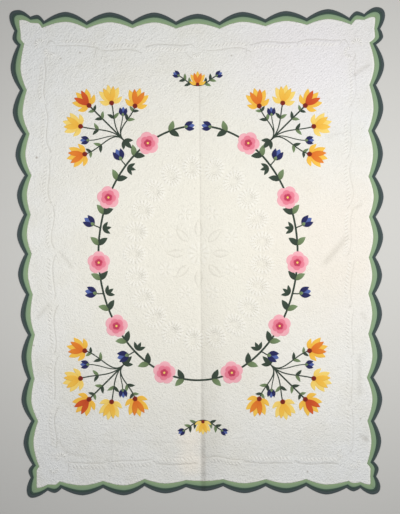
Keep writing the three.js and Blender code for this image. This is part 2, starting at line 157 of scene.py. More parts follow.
# The sprays in the middle
MIDDLE_FLOWER_RADIUS = 52
MIDDLE_FLOWER_PETALS = 10
MIDDLE_DRAWN = 0.5
SPRAYS = 8
SPRAY_STRETCH = 1.18
LEAF_START = 64
LEAF_LENGTH = 88
LEAF_WIDTH = 34
LEAF_FULLNESS = 0.85
LEAF_STEPS = 14
LEAF_ACROSS = (-1.25, -1, -0.5, 0, 0.5, 1, 1.25)
FLORET_DISTANCE = 168
FLORET_RADIUS = 30
FLORET_PETALS = 6

# The straight quilting lines behind everything, and the net of points that carries them
LINE_SPACING = 12
LINE_RISE = 0.75
LINE_UNEVEN = 0.45
# How much painted shade, partly soil, the straight lines' grooves get
LINE_STITCHED = 0.3
ROUND_ROOM = 6
BAR_ROOM = 3
NET_ACROSS = 4
NET_ALONG = 21
NET_FINE = 7
FINE_PAST_FOLD = 1.2
FINE_PAST_CREASE = 1.3

# The fold down the middle: steep on its left, easing off over a wide strip on its right
FOLD_X = 16.5
FOLD_LEAN = -0.0082
FOLD_TOP = 850
FOLD_DEPTH = 1.9
FOLD_SHARPNESS = 2.5
FOLD_FAINT_SHARE = 0.35
FOLD_FOOT_GAIN = 0.6
FOLD_REACH = 26
FOLD_EASE = 90
FOLD_EASE_DEPTH = 1.0
FOLD_STEP = 14
FOLD_COLUMNS = [-9, -5, -2, 0, 2, 5, 10]

# The painted shade along the fold, each from its least to its most, which it reaches near the foot.
# The line's two sides are where it starts and is full, in widths to the right of the fold.
FOLD_SHADE_BETWEEN = (400, -900)
FOLD_LINE_WIDTHS = (10, 34)
FOLD_LINE_SHADES = (0.18, 0.42)
FOLD_SHARP_SIDE = (-0.35, -0.05)
FOLD_SOFT_SIDE = (0.8, 0.25)
FOLD_SIDE_WIDTH = 130
FOLD_SIDE_SHADES = (0.03, 0.17)
FOLD_SHADE_COLOUR = (0.3, 0.28, 0.26, 1)
FOLD_BREAK_SCALE = 60
FOLD_UNBROKEN = 0.4

# The slow swell of the whole cloth, and small ripples on it
SWELL_HEIGHT = 0.45
SWELL_ACROSS = 190
SWELL_ALONG = 240
SWELL_START = 0.6
RIPPLE_HEIGHT = 0.2

# Creases left by storing the quilt folded: from, to, half width and depth
# Painted shade, partly soil, darkening each crease by its depth
CREASE_SHADE_AND_SOIL = 0.4
CREASES = [
    ((-436, 972), (-436, 808), 9, 0.5), ((-403, -837), (-403, -1025), 9, 0.6),
    ((-572, -889), (15, -893), 10, 0.5), ((-649, -888), (-616, -940), 13, 0.8),
    ((-616, -940), (-566, -954), 8, 1.3), ((-566, -954), (-508, -964), 8, 1.2),
    ((735, 834), (803, 882), 20, 1.2), ((611, 546), (691, 562), 14, 0.7),
    ((735, 206), (772, 225), 14, 1.1), ((603, -46), (699, 66), 34, 1.2),
    ((775, -287), (786, -311), 24, 0.9), ((763, -494), (763, -668), 28, 0.9),
    ((-647, 2), (-590, -70), 16, 1.1), ((-632, 10), (-585, 48), 13, -0.7),
    ((-749, -305), (-702, -250), 22, 0.9), ((-289, 175), (-289, -70), 9, 0.6),
    ((312, 30), (312, -150), 9, 0.5), ((769, -862), (800, -884), 22, 1.3),
]

# The scallops of each side, clockwise from above: width, inset of the first notch and of the crown
HEAD_ROWS = [
    (65, 46, 37), (200, 66, 23), (215, 69, 25), (205, 67, 26), (205, 69, 32),
    (215, 70, 23), (195, 58, 19), (200, 52, 10), (70, 51, 20),
]
RIGHT_ROWS = [
    (75, 23, 9), (190, 42, 4), (215, 42, 8), (215, 48, 10), (190, 46, 7), (190, 44, 9),
    (170, 45, 14), (190, 47, 14), (205, 47, 13), (205, 54, 13), (190, 51, 18), (70, 53, 30),
]
FOOT_ROWS = [
    (65, 46, 31), (190, 47, 16), (190, 56, 22), (200, 55, 22), (175, 55, 32),
    (195, 51, 21), (195, 56, 12), (195, 47, 12), (65, 45, 23),
]
LEFT_ROWS = [
    (60, 101, 90), (205, 109, 67), (200, 103, 57), (205, 86, 57), (190, 88, 53), (190, 78, 41),
    (185, 73, 36), (185, 68, 36), (195, 72, 29), (205, 63, 16), (210, 50, 6), (70, 38, 15),
]

# The lengths of rope along each side: where each starts and ends along it, how far in its middle
# lies at its start, a third and two thirds along and at its end, and the edge that has the strokes
HEAD_ROPES = [
    (222, 406, (169, 169, 170, 179), "outer"), (434, 603, (193, 191, 187, 196), "outer"),
    (645, 852, (199, 188, 192, 188), "inner"), (923, 1120, (190, 189, 179, 191), "outer"),
    (1143, 1341, (190, 175, 178, 177), "inner"), (1360, 1548, (178, 164, 167, 167), "inner"),
]
RIGHT_ROPES = [
    (252, 454, (147, 154, 149, 170), "inner"), (492, 694, (164, 176, 173, 182), "inner"),
    (722, 929, (168, 177, 163, 179), "inner"), (952, 1154, (162, 175, 172, 182), "inner"),
    (1197, 1389, (158, 168, 176, 168), "inner"), (1432, 1629, (161, 169, 167, 163), "inner"),
    (1667, 1855, (173, 165, 169, 172), "inner"), (1892, 2071, (169, 163, 163, 165), "inner"),
]
FOOT_ROPES = [
    (219, 407, (171, 175, 171, 178), "inner"), (436, 652, (175, 177, 176, 183), "inner"),
    (680, 830, (171, 171, 182, 176), "outer"), (882, 1070, (177, 171, 169, 174), "inner"),
    (1098, 1291, (169, 162, 162, 157), "outer"), (1319, 1493, (151, 151, 152, 155), "outer"),
]
LEFT_ROPES = [
    (232, 402, (206, 210, 201, 208), "outer"), (463, 651, (199, 203, 200, 212), "outer"),
    (679, 890, (200, 207, 198, 210), "outer"), (933, 1125, (202, 199, 192, 199), "outer"),
    (1172, 1360, (199, 186, 197, 194), "outer"), (1384, 1581, (185, 170, 176, 175), "outer"),
    (1633, 1840, (180, 162, 168, 156), "outer"), (1873, 2051, (156, 151, 158, 152), "outer"),
]

# The sewn-on flowers: a generic wreath of two branches, a fan in each corner and two small sprigs.
# Places on the wreath are shares of the way up a branch.
WREATH_CENTRE = (4, -3)
WREATH_HALF_WIDTH = 468
WREATH_HALF_LENGTH = 598
WREATH_CROSSING = 3
WREATH_GAP = 8
WREATH_STEPS = 400
WREATH_PINKS = (0.115, 0.31, 0.5, 0.69, 0.885)
WREATH_BUDS = (0.215, 0.405, 0.595, 0.79)
WREATH_LEAVES = (0.055, 0.165, 0.255, 0.36, 0.45, 0.55, 0.64, 0.745, 0.83, 0.955)
WREATH_BUD_ANGLE = 62
WREATH_BUD_STEM = 34
WREATH_BUD_SIZE = 58
WREATH_END_BUD_SIZE = 50
TUFT_ANGLE = 70
TUFT_START = 12
TUFT_SPREADS = (0, 0.75, -0.75)
TUFT_LEAF = (42, 18)
STEM_WIDTH = 9.5
THIN_STEM_WIDTH = 6
STEM_STEP = 6
PATH_PULL = 0.4
PINK_RADIUS = 54
PINK_TURN = 0.6
LOBES = 5
LEAF_SIZE = (54, 28)
LEAF_VEIN = 0.4
PAIR_VEIN = 0.45
PAIR_BOW = 0.06

# Corner fan, as seen in the top right: its root and its stems' heading there, its leaves' places
# and sizes, and each stem's end, direction in degrees and colour
FAN_ROOT = (345, 527)
FAN_HEADING = 46
FAN_MIDDLE_WIDTH = 7.6
FAN_BUD_WIDTH = 4.8
FAN_LILY_SIZE = 88
FAN_BUD_SIZE = 44
FAN_LEAVES = (0.62, (38, 16))
FAN_UPPER_LEAVES = (0.86, (30, 14))
FAN_UPPER_SPREAD = 56
FAN_ROOT_LEAVES = [(226, (54, 24)), (180, (44, 20)), (272, (44, 20))]
FAN_STEMS = [
    ((528, 462), -14, "orange"), ((548, 592), 16, "yellow"), ((508, 690), 45, "rust"),
    ((402, 702), 78, "yellow"), ((292, 688), 106, "orange"),
]
FAN_BUDS = [((506, 527), 0), ((350, 640), 94)]

# Sprigs: middle, and 1 where it points up or -1 down
SPRIGS = [((2, 806), 1), ((27, -812), -1)]
SPRIG_REACH = 84
SPRIG_RISE = 22
SPRIG_TURN = 0.5
SPRIG_LEAF_PLACES = (0.35, 0.68)
SPRIG_LEAF = (32, 14)
SPRIG_BUD_SIZE = 36
SPRIG_LILY_SIZE = 62
SPRIG_LILY_DROP = 16

# Cloth height above the white cloth, from a sewn-on piece's turned edge inwards
EDGE_LIFTS = [(0, -0.15), (0.3, 0.75), (1.3, 1.2), (3.5, 1.45)]
DISC_STEPS = 72
DISC_RINGS = (0.75, 0.5, 0.3, 0.1)
DISC_LIFT = 1.6
NOTCH_PRESS = 0.45
BLADE_STATIONS = [0, 0.02, 0.07, 0.15, 0.25, 0.37, 0.5, 0.63, 0.75, 0.85, 0.93, 0.98, 1]
BLADE_ACROSS = [(-1, -0.15), (-0.95, 0.6), (-0.75, 1.0), (-0.35, 1.25), (0, 1.15),
                (0.35, 1.25), (0.75, 1.0), (0.95, 0.6), (1, -0.15)]
STEM_ACROSS = [(-1, -0.15), (-0.85, 0.75), (-0.4, 1.05), (0.4, 1.05), (0.85, 0.75), (1, -0.15)]
LEAST_HALF_WIDTH = 0.8
BLADE_ROUNDNESS = 0.85
LOBE_ROUNDNESS = 0.6

# Cotton: thread width in millimetres, how large and strong its uneven dye is, and its sheen
THREAD = 0.45
BLOTCHES = {"scale": 4.5, "detail": 5, "roughness": 0.62}
BLOTCH_RANGE = (0.42, 0.72)
MOTTLE_SCALE = 120
MOTTLE_SHARE = 0.12
PETAL_ROOT_SHADE = 0.8
TINTED_WEAR = 0.5
THREAD_BUMP = 0.25
COTTON_SHEEN = {
    "Roughness": 0.93, "Specular IOR Level": 0.2, "Sheen Weight": 0.08, "Sheen Roughness": 0.6,
}

# The white cloth: its wrinkles' height and width, where it starts to be creamy and where it is
# creamiest, in halves of the quilt from its middle, and how far puffs take up their painted
# highlight and stitched lines their painted shade, which is partly soil
WHITE_WRINKLE = 6
WHITE_WRINKLE_WIDTH = 8
CREAMY_BETWEEN = (1.25, 0.2)
CREAMY_SHARE = 0.85
HIGHLIGHT_SHARE = 0.8
SHADE_AND_SOIL_SHARE = 0.4
STITCH_PRICKS = 330
STITCH_BUMP = 0.5

# Where a stain or patch starts and where it is strongest, in its radius from its middle
PATCH_EDGES = (1.6, 0.5)

# Small stains and specks on the white cloth: place, radius, strength. The last is a faint dark spot
# on a crease beside the sage band, painted shade as well as soil.
STAINS = [
    ((-755, 446), 5, 0.5), ((-551, 940), 4, 0.45), ((-642, 911), 4, 0.35), ((161, 925), 4, 0.35),
    ((-769, -438), 4, 0.35), ((519, -1030), 4, 0.4), ((768, -782), 4, 0.35), ((790, -876), 12, 0.1),
]

# Warmer and paler patches of the white cloth: place, radius, strength, colour. The last two are
# painted light on the lit left side of the fold near the foot.
PATCHES = [
    ((520, 930), 280, 0.6, (243, 240, 246)),
    ((700, 40), 330, 0.6, (247, 239, 228)),
    ((560, -560), 240, 0.4, (250, 248, 243)),
    ((-35, -870), 52, 0.6, (255, 248, 236)),
    ((-32, -985), 52, 0.65, (255, 248, 236)),
]

# Colours from 0 to 255: of cloth, each with its worn colour, which on the bands is also their colour
# towards the outer edge, of the painted highlight on puffs, of the painted shade, partly soil, in
# stitched lines, seams and creases, and of stains
SEWN_COLOURS = {
    "stem_green": ((58, 72, 62), (48, 60, 52)),
    "dark_leaf": ((62, 78, 66), (50, 62, 52)),
    "leaf_green": ((128, 152, 112), (88, 104, 70)),
    "light_pink": ((244, 186, 196), (232, 140, 160)),
    "pink": ((236, 140, 160), (214, 92, 120)),
    "rose": ((206, 76, 108), (166, 44, 70)),
    "blue": ((92, 112, 178), (60, 74, 140)),
    "navy": ((44, 48, 100), (32, 32, 72)),
    "light_yellow": ((248, 222, 130), (240, 196, 84)),
    "yellow": ((246, 204, 88), (236, 170, 56)),
    "orange": ((234, 142, 52), (216, 98, 36)),
    "rust": ((222, 98, 46), (184, 62, 34)),
    "maroon": ((138, 46, 34), (108, 30, 24)),
}
WHITE = ((238, 240, 241), (231, 231, 226))
CREAM = (243, 240, 228)
SAGE = ((143, 167, 126), (134, 162, 137))
GREEN = ((64, 84, 74), (62, 82, 78))
SLATE = ((68, 80, 80), (72, 83, 87))
HIGHLIGHT_COLOUR = (252, 251, 246)
SHADE_AND_SOIL_COLOUR = (150, 144, 130)
STAINED = (120, 100, 78)
FLOOR = (205, 205, 203)

# Lamps: place in metres and watts
LAMPS = {
    "right_lamp": ((1.6, 0.3, 2.2), 40.3),
    "left_lamp": ((-1.5, -0.1, 1.8), 6.8),
    "top_lamp": ((-0.4, 0.2, 1.6), 8.4),
}
LAMP_SIZE = 0.9
LAMP_COLOUR = (1, 0.98, 0.94)
SKY_COLOUR = (0.97, 0.98, 1.0, 1)
SKY_STRENGTH = 0.295

# Petals, from the lowest up: turn in radians from the flower's heading, length and width as shares
# of its size, fullness, bow and height. A bud's have their colour first.
BUD_PETALS = [
    ("blue", 0, 1, 0.5, 1.15, 0, 0),
    ("navy", 0.36, 0.98, 0.42, 1, 0.07, 0.7),
    ("navy", -0.36, 0.98, 0.42, 1, -0.07, 0.7),
    ("leaf_green", 0, 0.36, 0.3, 0.85, 0, 1.6),
]
LILY_BACK = [
    (0, 1, 0.36, 1.05, 0, 0), (0.62, 0.92, 0.36, 1.05, 0, 0), (-0.62, 0.92, 0.36, 1.05, 0, 0),
    (1.22, 0.66, 0.26, 1.05, 0.1, 0.3), (-1.22, 0.66, 0.26, 1.05, -0.1, 0.3),
]
LILY_FRONT = [(0.31, 0.9, 0.3, 1.1, 0, 1.1), (-0.31, 0.9, 0.3, 1.1, 0, 1.1)]
LILY_VEIN = 0.3
LILY_EYE = 0.13
LILY_EYE_HEIGHT = 2.2

# A pink's layers: radius as a share of its own, depth of the notches, half lobes turned and height
PINK_LAYERS = [("light_pink", 1, 0.2, 0, 0), ("pink", 0.66, 0.22, 1, 1.3), ("rose", 0.34, 0.2, 0, 2.6)]
PINK_EYE = 0.1
PINK_EYE_HEIGHT = 3.6

# The photograph's frame: its middle on the quilt and how much of its length it covers
VIEW_CENTRE = (13.2, -21.6)
VIEW_LENGTH = 2416
LENS = 75


def lerp(a, b, t):
    return a + (b - a) * t


def curve(start, pull, end, t):
    """A place on a curve that is pulled towards a third point on its way."""
    return (1 - t) ** 2 * start + 2 * t * (1 - t) * pull + t * t * end


def smoothstep(value, low, high):
    t = np.clip((value - low) / (high - low), 0, 1)
    return t * t * (3 - 2 * t)


def turned_point(x, y, angle, forward, sideways=0):
    """The point so far forward and so far to the left of a place, facing an angle."""
    return (
        x + forward * math.cos(angle) - sideways * math.sin(angle),
        y + forward * math.sin(angle) + sideways * math.cos(angle),
    )


def run_along(xs, ys):
    """How far along a path each of its points lies."""
    return np.concatenate([[0], np.cumsum(np.hypot(np.diff(xs), np.diff(ys)))])


# The quilt's edge

def make_side(name, along, rows, ropes, lobes, first_notch, last_notch_inset):
    """One side of the quilt, from the corner where it starts, clockwise from above. Each of its two
    corner lobes has its crown's inset and how round it is."""
    inward = (along[1], -along[0])
    return {
        "name": name, "along": along, "inward": inward, "rows": rows, "ropes": ropes, "lobes": lobes,
        "length": WIDTH if along[0] else LENGTH,
        "corner": (-(along[0] + inward[0]) * WIDTH / 2, -(along[1] + inward[1]) * LENGTH / 2),
        "first_notch": first_notch, "last_notch_inset": last_notch_inset,
    }


SIDES = [
    make_side("head", (1, 0), HEAD_ROWS, HEAD_ROPES, ((14, 44), (0, 41)), 99, 33),
    make_side("right", (0, -1), RIGHT_ROWS, RIGHT_ROPES, ((0, 40), (22, 38)), 102, 42),
    make_side("foot", (-1, 0), FOOT_ROWS, FOOT_ROPES, ((16, 38), (0, 27)), 116, 35),
    make_side("left", (0, 1), LEFT_ROWS, LEFT_ROPES, ((82, 39), (0, 34)), 96, 24),
]


def point_on_side(side, along, inset):
    return (
        side["corner"][0] + along * side["along"][0] + inset * side["inward"][0],
        side["corner"][1] + along * side["along"][1] + inset * side["inward"][1],
    )


def side_before(side):
    return SIDES[SIDES.index(side) - 1]


def side_after(side):
    return SIDES[(SIDES.index(side) + 1) % len(SIDES)]


def lobe_crown(side, is_start, depth):
    """How far along and how far in a corner lobe has its crown."""
    inset, full_round = side["lobes"][0 if is_start else 1]
    neighbour = side_before(side)["lobes"][1] if is_start else side_after(side)["lobes"][0]
    from_corner = neighbour[0] + depth + max(full_round - LOBE_TIGHTENING * depth, LEAST_ROUND)
    return (from_corner if is_start else side["length"] - from_corner), inset + depth


def crowns_and_notches(side, depth):
    marks = [lobe_crown(side, True, depth)]
    last = len(side["rows"]) - 1
    lean = CORNER_LEAN * depth
    along = side["first_notch"]
    for i, (width, notch, crown) in enumerate(side["rows"]):
        notch_share = END_NOTCH_SHARE if i == 0 else NOTCH_SHARE
        crown_share = NARROW_CROWN_SHARE if i in (0, last) else 1
        notch_lean = (lean if i == last else 0) - (lean if i == 1 else 0)
        marks.append((along + notch_lean, notch + depth * notch_share))
        marks.append((along + width / 2, crown + depth * crown_share))
        along += width
    marks.append((along, side["last_notch_inset"] + depth * END_NOTCH_SHARE))
    marks.append(lobe_crown(side, False, depth))
    return marks


def corner_point(side, depth, t):
    """A point on the rounded corner before a side: 0 on the last side's lobe, 1 on this one's."""
    before = side_before(side)
    start = lobe_crown(before, False, depth)
    end = lobe_crown(side, True, depth)
    a = point_on_side(before, *start)
    b = point_on_side(side, start[1], end[1])
    c = point_on_side(side, *end)
    return tuple(curve(a[k], b[k], c[k], t) for k in range(2))


def edge_of_side(side, depth):
    """The edge of one side at a depth inside the quilt's edge, from mitre to mitre."""
    half = CORNER_STEPS // 2
    points = [corner_point(side, depth, i / CORNER_STEPS) for i in range(half, CORNER_STEPS)]
    marks = crowns_and_notches(side, depth)
    for i in range(len(marks) - 1):
        towards_notch = i % 2 == 0
        crown, notch = (marks[i], marks[i + 1]) if towards_notch else (marks[i + 1], marks[i])
        for step in range(SCALLOP_STEPS):
            away = step / SCALLOP_STEPS if towards_notch else 1 - step / SCALLOP_STEPS
            points.append(point_on_side(
                side,
                lerp(crown[0], notch[0], away),
                lerp(crown[1], notch[1], away ** ROUNDNESS),
            ))
    after = side_after(side)
    points += [corner_point(after, depth, i / CORNER_STEPS) for i in range(half + 1)]
    return points


def edge_loop(depth):
    return [point for side in SIDES for point in edge_of_side(side, depth)[:-1]]


def inside(loop, xs, ys):
    """Which of the points lie inside a closed loop."""
    result = np.zeros(len(xs), dtype=bool)
    for (ax, ay), (bx, by) in zip(loop, loop[1:] + loop[:1]):
        if ay == by:
            continue
        crosses = (ay > ys) != (by > ys)
        result ^= crosses & (xs < ax + (bx - ax) * (ys - ay) / (by - ay))
    return result


# Heights of the cloth

def distance_to_line(xs, ys, start, end):
    """Distance of each point from a straight line between two points."""
    start, end = np.array(start, dtype=float), np.array(end, dtype=float)
    line = end - start
    length = max(line @ line, 1e-9)
    t = np.clip(((xs - start[0]) * line[0] + (ys - start[1]) * line[1]) / length, 0, 1)
    return np.hypot(xs - start[0] - t * line[0], ys - start[1] - t * line[1])


def fold_line(ys):
    return FOLD_X + FOLD_LEAN * ys


def fold_strength(ys):
    strength = lerp(FOLD_FAINT_SHARE, 1, smoothstep(FOLD_TOP - ys, 0, FOLD_TOP))
    towards_foot = np.clip(-ys / (LENGTH / 2), 0, 1)
    return np.where(ys < FOLD_TOP, strength * (1 + FOLD_FOOT_GAIN * towards_foot), 0)


def fold_depth(xs, ys):
    away = xs - fold_line(ys)
    sharp = (1 - smoothstep(np.abs(away), 0, FOLD_REACH)) ** FOLD_SHARPNESS
    ease = 1 - smoothstep(np.where(away > 0, away / FOLD_EASE, -away / FOLD_REACH), 0, 1)
    return fold_strength(ys) * (FOLD_DEPTH * sharp + FOLD_EASE_DEPTH * ease)


def crease_depth(xs, ys):
    total = np.zeros(len(xs))
    for start, end, reach, depth in CREASES:
        away = distance_to_line(xs, ys, start, end)
        total += depth * (1 - smoothstep(away, 0, reach)) ** 2
    return total


def swell(xs, ys):
    slow = SWELL_HEIGHT * np.sin(xs / SWELL_ACROSS + SWELL_START) * np.cos(ys / SWELL_ALONG)
    return slow + RIPPLE_HEIGHT * np.sin(xs / 61 + ys / 83) * np.sin(ys / 53 - xs / 97)


# Quilted figures

class QuiltedFace:
    """The face's points, each with its lift above plain cloth and how much painted shade, partly soil,
    it has there. Less than none is a painted highlight.
    """

    def __init__(self):
        self.points = []

    def add(self, x, y, lift, stitched=0.0):
        self.points.append((x, y, lift, stitched))

    def add_rosette(self, x, y, radius, petals, facing=0, sweep=360, stretch=1, puff=PUFF, drawn=1):
        """Puffed petals around a flat centre, stitched down between them. A fan sweeps less than 360."""
        self.add(x, y, CENTRE_LIFT)
        turn = math.radians(facing)
        steps = len(PUFF_LIFTS)
        count = round(petals * steps * 360 / sweep)
        last_petal = petals * steps
        for i in range(count):
            angle = math.radians(sweep) * (i / last_petal - 0.5)
            puffed = PUFF_LIFTS[i % steps]
            tip = lerp(GROOVE_REACH, 1, puffed)
            rings = [(CENTRE_RING, CENTRE_LIFT, 0)] if i % 2 == 0 else []
            for share, lift, tightness in PETAL_RINGS:
                groove = -STITCH_SINK * tightness
                # Painted shade, partly soil, in the grooves, and a painted highlight on the puffs
                stitched = tightness * lerp(1, -PUFF_HIGHLIGHT, puffed)
                rings.append((share * tip, lerp(groove, puff * lift, puffed), stitched))
            rings.append((tip + FLAT_PAST_PETALS / radius, 0, 0))
            for share, lift, stitched in rings:
                if i > last_petal:
                    lift, stitched = 0, 0
                ahead = share * radius * stretch * math.cos(angle)
                aside = share * radius / stretch * math.sin(angle)
                self.add(*turned_point(x, y, turn, ahead, aside), lift, stitched * drawn)

    def add_leaf(self, x, y, angle, length, width):
        """A pointed leaf, puffed on both sides of its vein and stitched down around its edge."""
        for i in range(LEAF_STEPS + 1):
            share = i / LEAF_STEPS
            half = width / 2 * math.sin(math.pi * share ** LEAF_FULLNESS)
            at_end = i in (0, LEAF_STEPS)
            for side in (0,) if at_end else LEAF_ACROSS:
                lift = {0: PUFF * 0.5, 0.5: PUFF, 1: -STITCH_SINK}.get(abs(side), 0)
                lift = -STITCH_SINK if at_end else lift
                place = turned_point(x, y, angle, share * length, side * half)
                # The stitched edge gets painted shade, partly soil
                self.add(*place, lift, MIDDLE_DRAWN if abs(side) == 1 else 0)

    def add_rope(self, side, start, end, insets, stroked):
        """One length of rope, which narrows to its plain line at both ends."""
        edge = 1 if stroked == "inner" else -1
        count = round((end - start) / STROKE_PITCH) * len(PUFF_LIFTS)
        slant = stroke_lean(side, (start + end) / 2) * STROKE_SLANT
        half = ROPE_WIDTH / 2
        for i in range(count + 1):
            along = lerp(start, end, i / count)
            stroke = PUFF_LIFTS[i % len(PUFF_LIFTS)]
            from_end = min(min(along - start, end - along) / half, 1)
            fullness = max(math.sqrt(1 - (1 - from_end) ** 2), LEAST_FULLNESS)
            for across, lift, pressed in ROPE_PROFILE:
                inward = edge * half * (across if across <= -1 else (across + 1) * fullness - 1)
                slanted = along + (slant * (inward + edge * half * STROKE_PIVOT) if pressed else 0)
                inset = through_four(insets, np.clip((slanted - start) / (end - start), 0, 1)) + inward
                line = FAINT_LINE if side["name"] == "right" else 1
                tightness = line if lift is None else pressed * (1 - stroke) * from_end
                height = lerp(PUFF * (lift or 0) * fullness, -STITCH_SINK, tightness)
                # Painted highlight on the puffs between the strokes, and painted shade, partly soil, in
                # the stitched lines
                puff_highlight = PUFF_HIGHLIGHT * pressed * stroke * from_end
                stitched = (tightness - puff_highlight) * ROPE_DRAWN
                self.add(*point_on_side(side, slanted, inset), height, stitched)
        for past, inwards in ROPE_TAIL:
            inset = insets[-1] - edge * half + inwards
            rows = (inset - STITCH_ROOM, inset, inset + STITCH_ROOM)
            self.add_stitches([point_on_side(side, end + past, row) for row in rows], ROPE_DRAWN)

    def add_stitches(self, points, drawn):
        """One place on a stitched line: flat cloth, the line itself and flat cloth again."""
        # The line itself is sunk and gets painted shade, partly soil
        for (x, y), tightness in zip(points, (0, drawn, 0)):
            self.add(x, y, -STITCH_SINK * tightness, tightness)

    def add_hook(self, start, middle, end):
        """A curved line of stitches through three points. Gives its places."""
        start, middle, end = (np.array(point, dtype=float) for point in (start, middle, end))
        pull = 2 * middle - (start + end) / 2
        length = np.linalg.norm(middle - start) + np.linalg.norm(end - middle)
        count = max(round(float(length) / HOOK_STEP), 3)
        places = []
        for i in range(count + 1):
            t = i / count
            place = curve(start, pull, end, t)
            heading = (1 - t) * (pull - start) + t * (end - pull)
            aside = np.array((-heading[1], heading[0])) / np.linalg.norm(heading) * STITCH_ROOM
            self.add_stitches([tuple(place - aside), tuple(place), tuple(place + aside)], HOOK_DRAWN)
            places.append(tuple(place))
        return places


def through_four(values, t):
    """A smooth curve's value at t, from 0 to 1, through four values a third apart."""
    a, b, c, d = values
    u = 3 * t
    return (
        -a * (u - 1) * (u - 2) * (u - 3) / 6
        + b * u * (u - 2) * (u - 3) / 2
        - c * u * (u - 1) * (u - 3) / 2
        + d * u * (u - 1) * (u - 2) / 6
    )


def stroke_lean(side, along):
    """1 or -1: strokes lean to the right in the quilt's head half, and to the left in its foot half."""
    _, y = point_on_side(side, along, 0)
    lean = 1 if y > 0 else -1
    ahead, inward = side["along"], side["inward"]
    return lean * (inward[0] * ahead[1] + inward[1] * ahead[0])


def oval_points(centre, half_width, half_length, count, turn):
    """Points evenly spaced along an oval, counter-clockwise from its right end."""
    angles = np.linspace(0, 2 * math.pi, OVAL_STEPS + 1)
    run = run_along(half_width * np.cos(angles), half_length * np.sin(angles))
    wanted = ((np.arange(count) + turn) / count % 1) * run[-1]
    return [
        (centre[0] + half_width * math.cos(a), centre[1] + half_length * math.sin(a))
        for a in np.interp(wanted, run, angles)
    ]


def quilted_figures(face):
    """Adds every figure, and gives the circles and bars that the plain lines keep out of."""
    rounds, bars = [], []
    for side in SIDES:
        for rope in side["ropes"]:
            face.add_rope(side, *rope)
    for hook in HOOKS:
        places = face.add_hook(*hook)
        bars += [(start, end, STITCH_ROOM) for start, end in zip(places, places[1:])]
    for centre, radius, facing in FANS:
        face.add_rosette(*centre, radius, FAN_PETALS, facing, FAN_SWEEP, puff=ROSETTE_PUFF)
        rounds.append((*centre, radius))
    for x, y in oval_points(
        RING_CENTRE, RING_HALF_WIDTH, RING_HALF_LENGTH, RING_ROSETTES, RING_START_TURN
    ):
        outwards = math.atan2(
            (y - RING_CENTRE[1]) / RING_HALF_LENGTH ** 2, (x - RING_CENTRE[0]) / RING_HALF_WIDTH ** 2
        )
        face.add_rosette(
            x, y, ROSETTE_RADIUS, ROSETTE_PETALS, math.degrees(outwards),
            stretch=ROSETTE_STRETCH, puff=ROSETTE_PUFF,
        )
        rounds.append((x, y, ROSETTE_RADIUS * ROSETTE_STRETCH))
    x, y = RING_CENTRE
    face.add_rosette(x, y, MIDDLE_FLOWER_RADIUS, MIDDLE_FLOWER_PETALS, drawn=MIDDLE_DRAWN)
    rounds.append((x, y, MIDDLE_FLOWER_RADIUS))

    def around(distance, angle):
        return x + distance * math.cos(angle), y + distance * SPRAY_STRETCH * math.sin(angle)

    for i in range(SPRAYS):
        angle = 2 * math.pi * i / SPRAYS
        root = around(LEAF_START, angle)
        face.add_leaf(*root, angle, LEAF_LENGTH, LEAF_WIDTH)
        bars.append((root, turned_point(*root, angle, LEAF_LENGTH), LEAF_WIDTH / 2))
        floret = around(FLORET_DISTANCE, 2 * math.pi * (i + 0.5) / SPRAYS)
        face.add_rosette(*floret, FLORET_RADIUS, FLORET_PETALS, drawn=MIDDLE_DRAWN)
        rounds.append((*floret, FLORET_RADIUS))
    return rounds, bars


def clear_of(rounds, bars, xs, ys):
    """Which of the points lie well outside every circle and bar."""
    clear = np.ones(len(xs), dtype=bool)
    for x, y, radius in rounds:
        clear &= np.hypot(xs - x, ys - y) > radius + ROUND_ROOM
    for start, end, half in bars:
        clear &= distance_to_line(xs, ys, start, end) > half + BAR_ROOM
    return clear


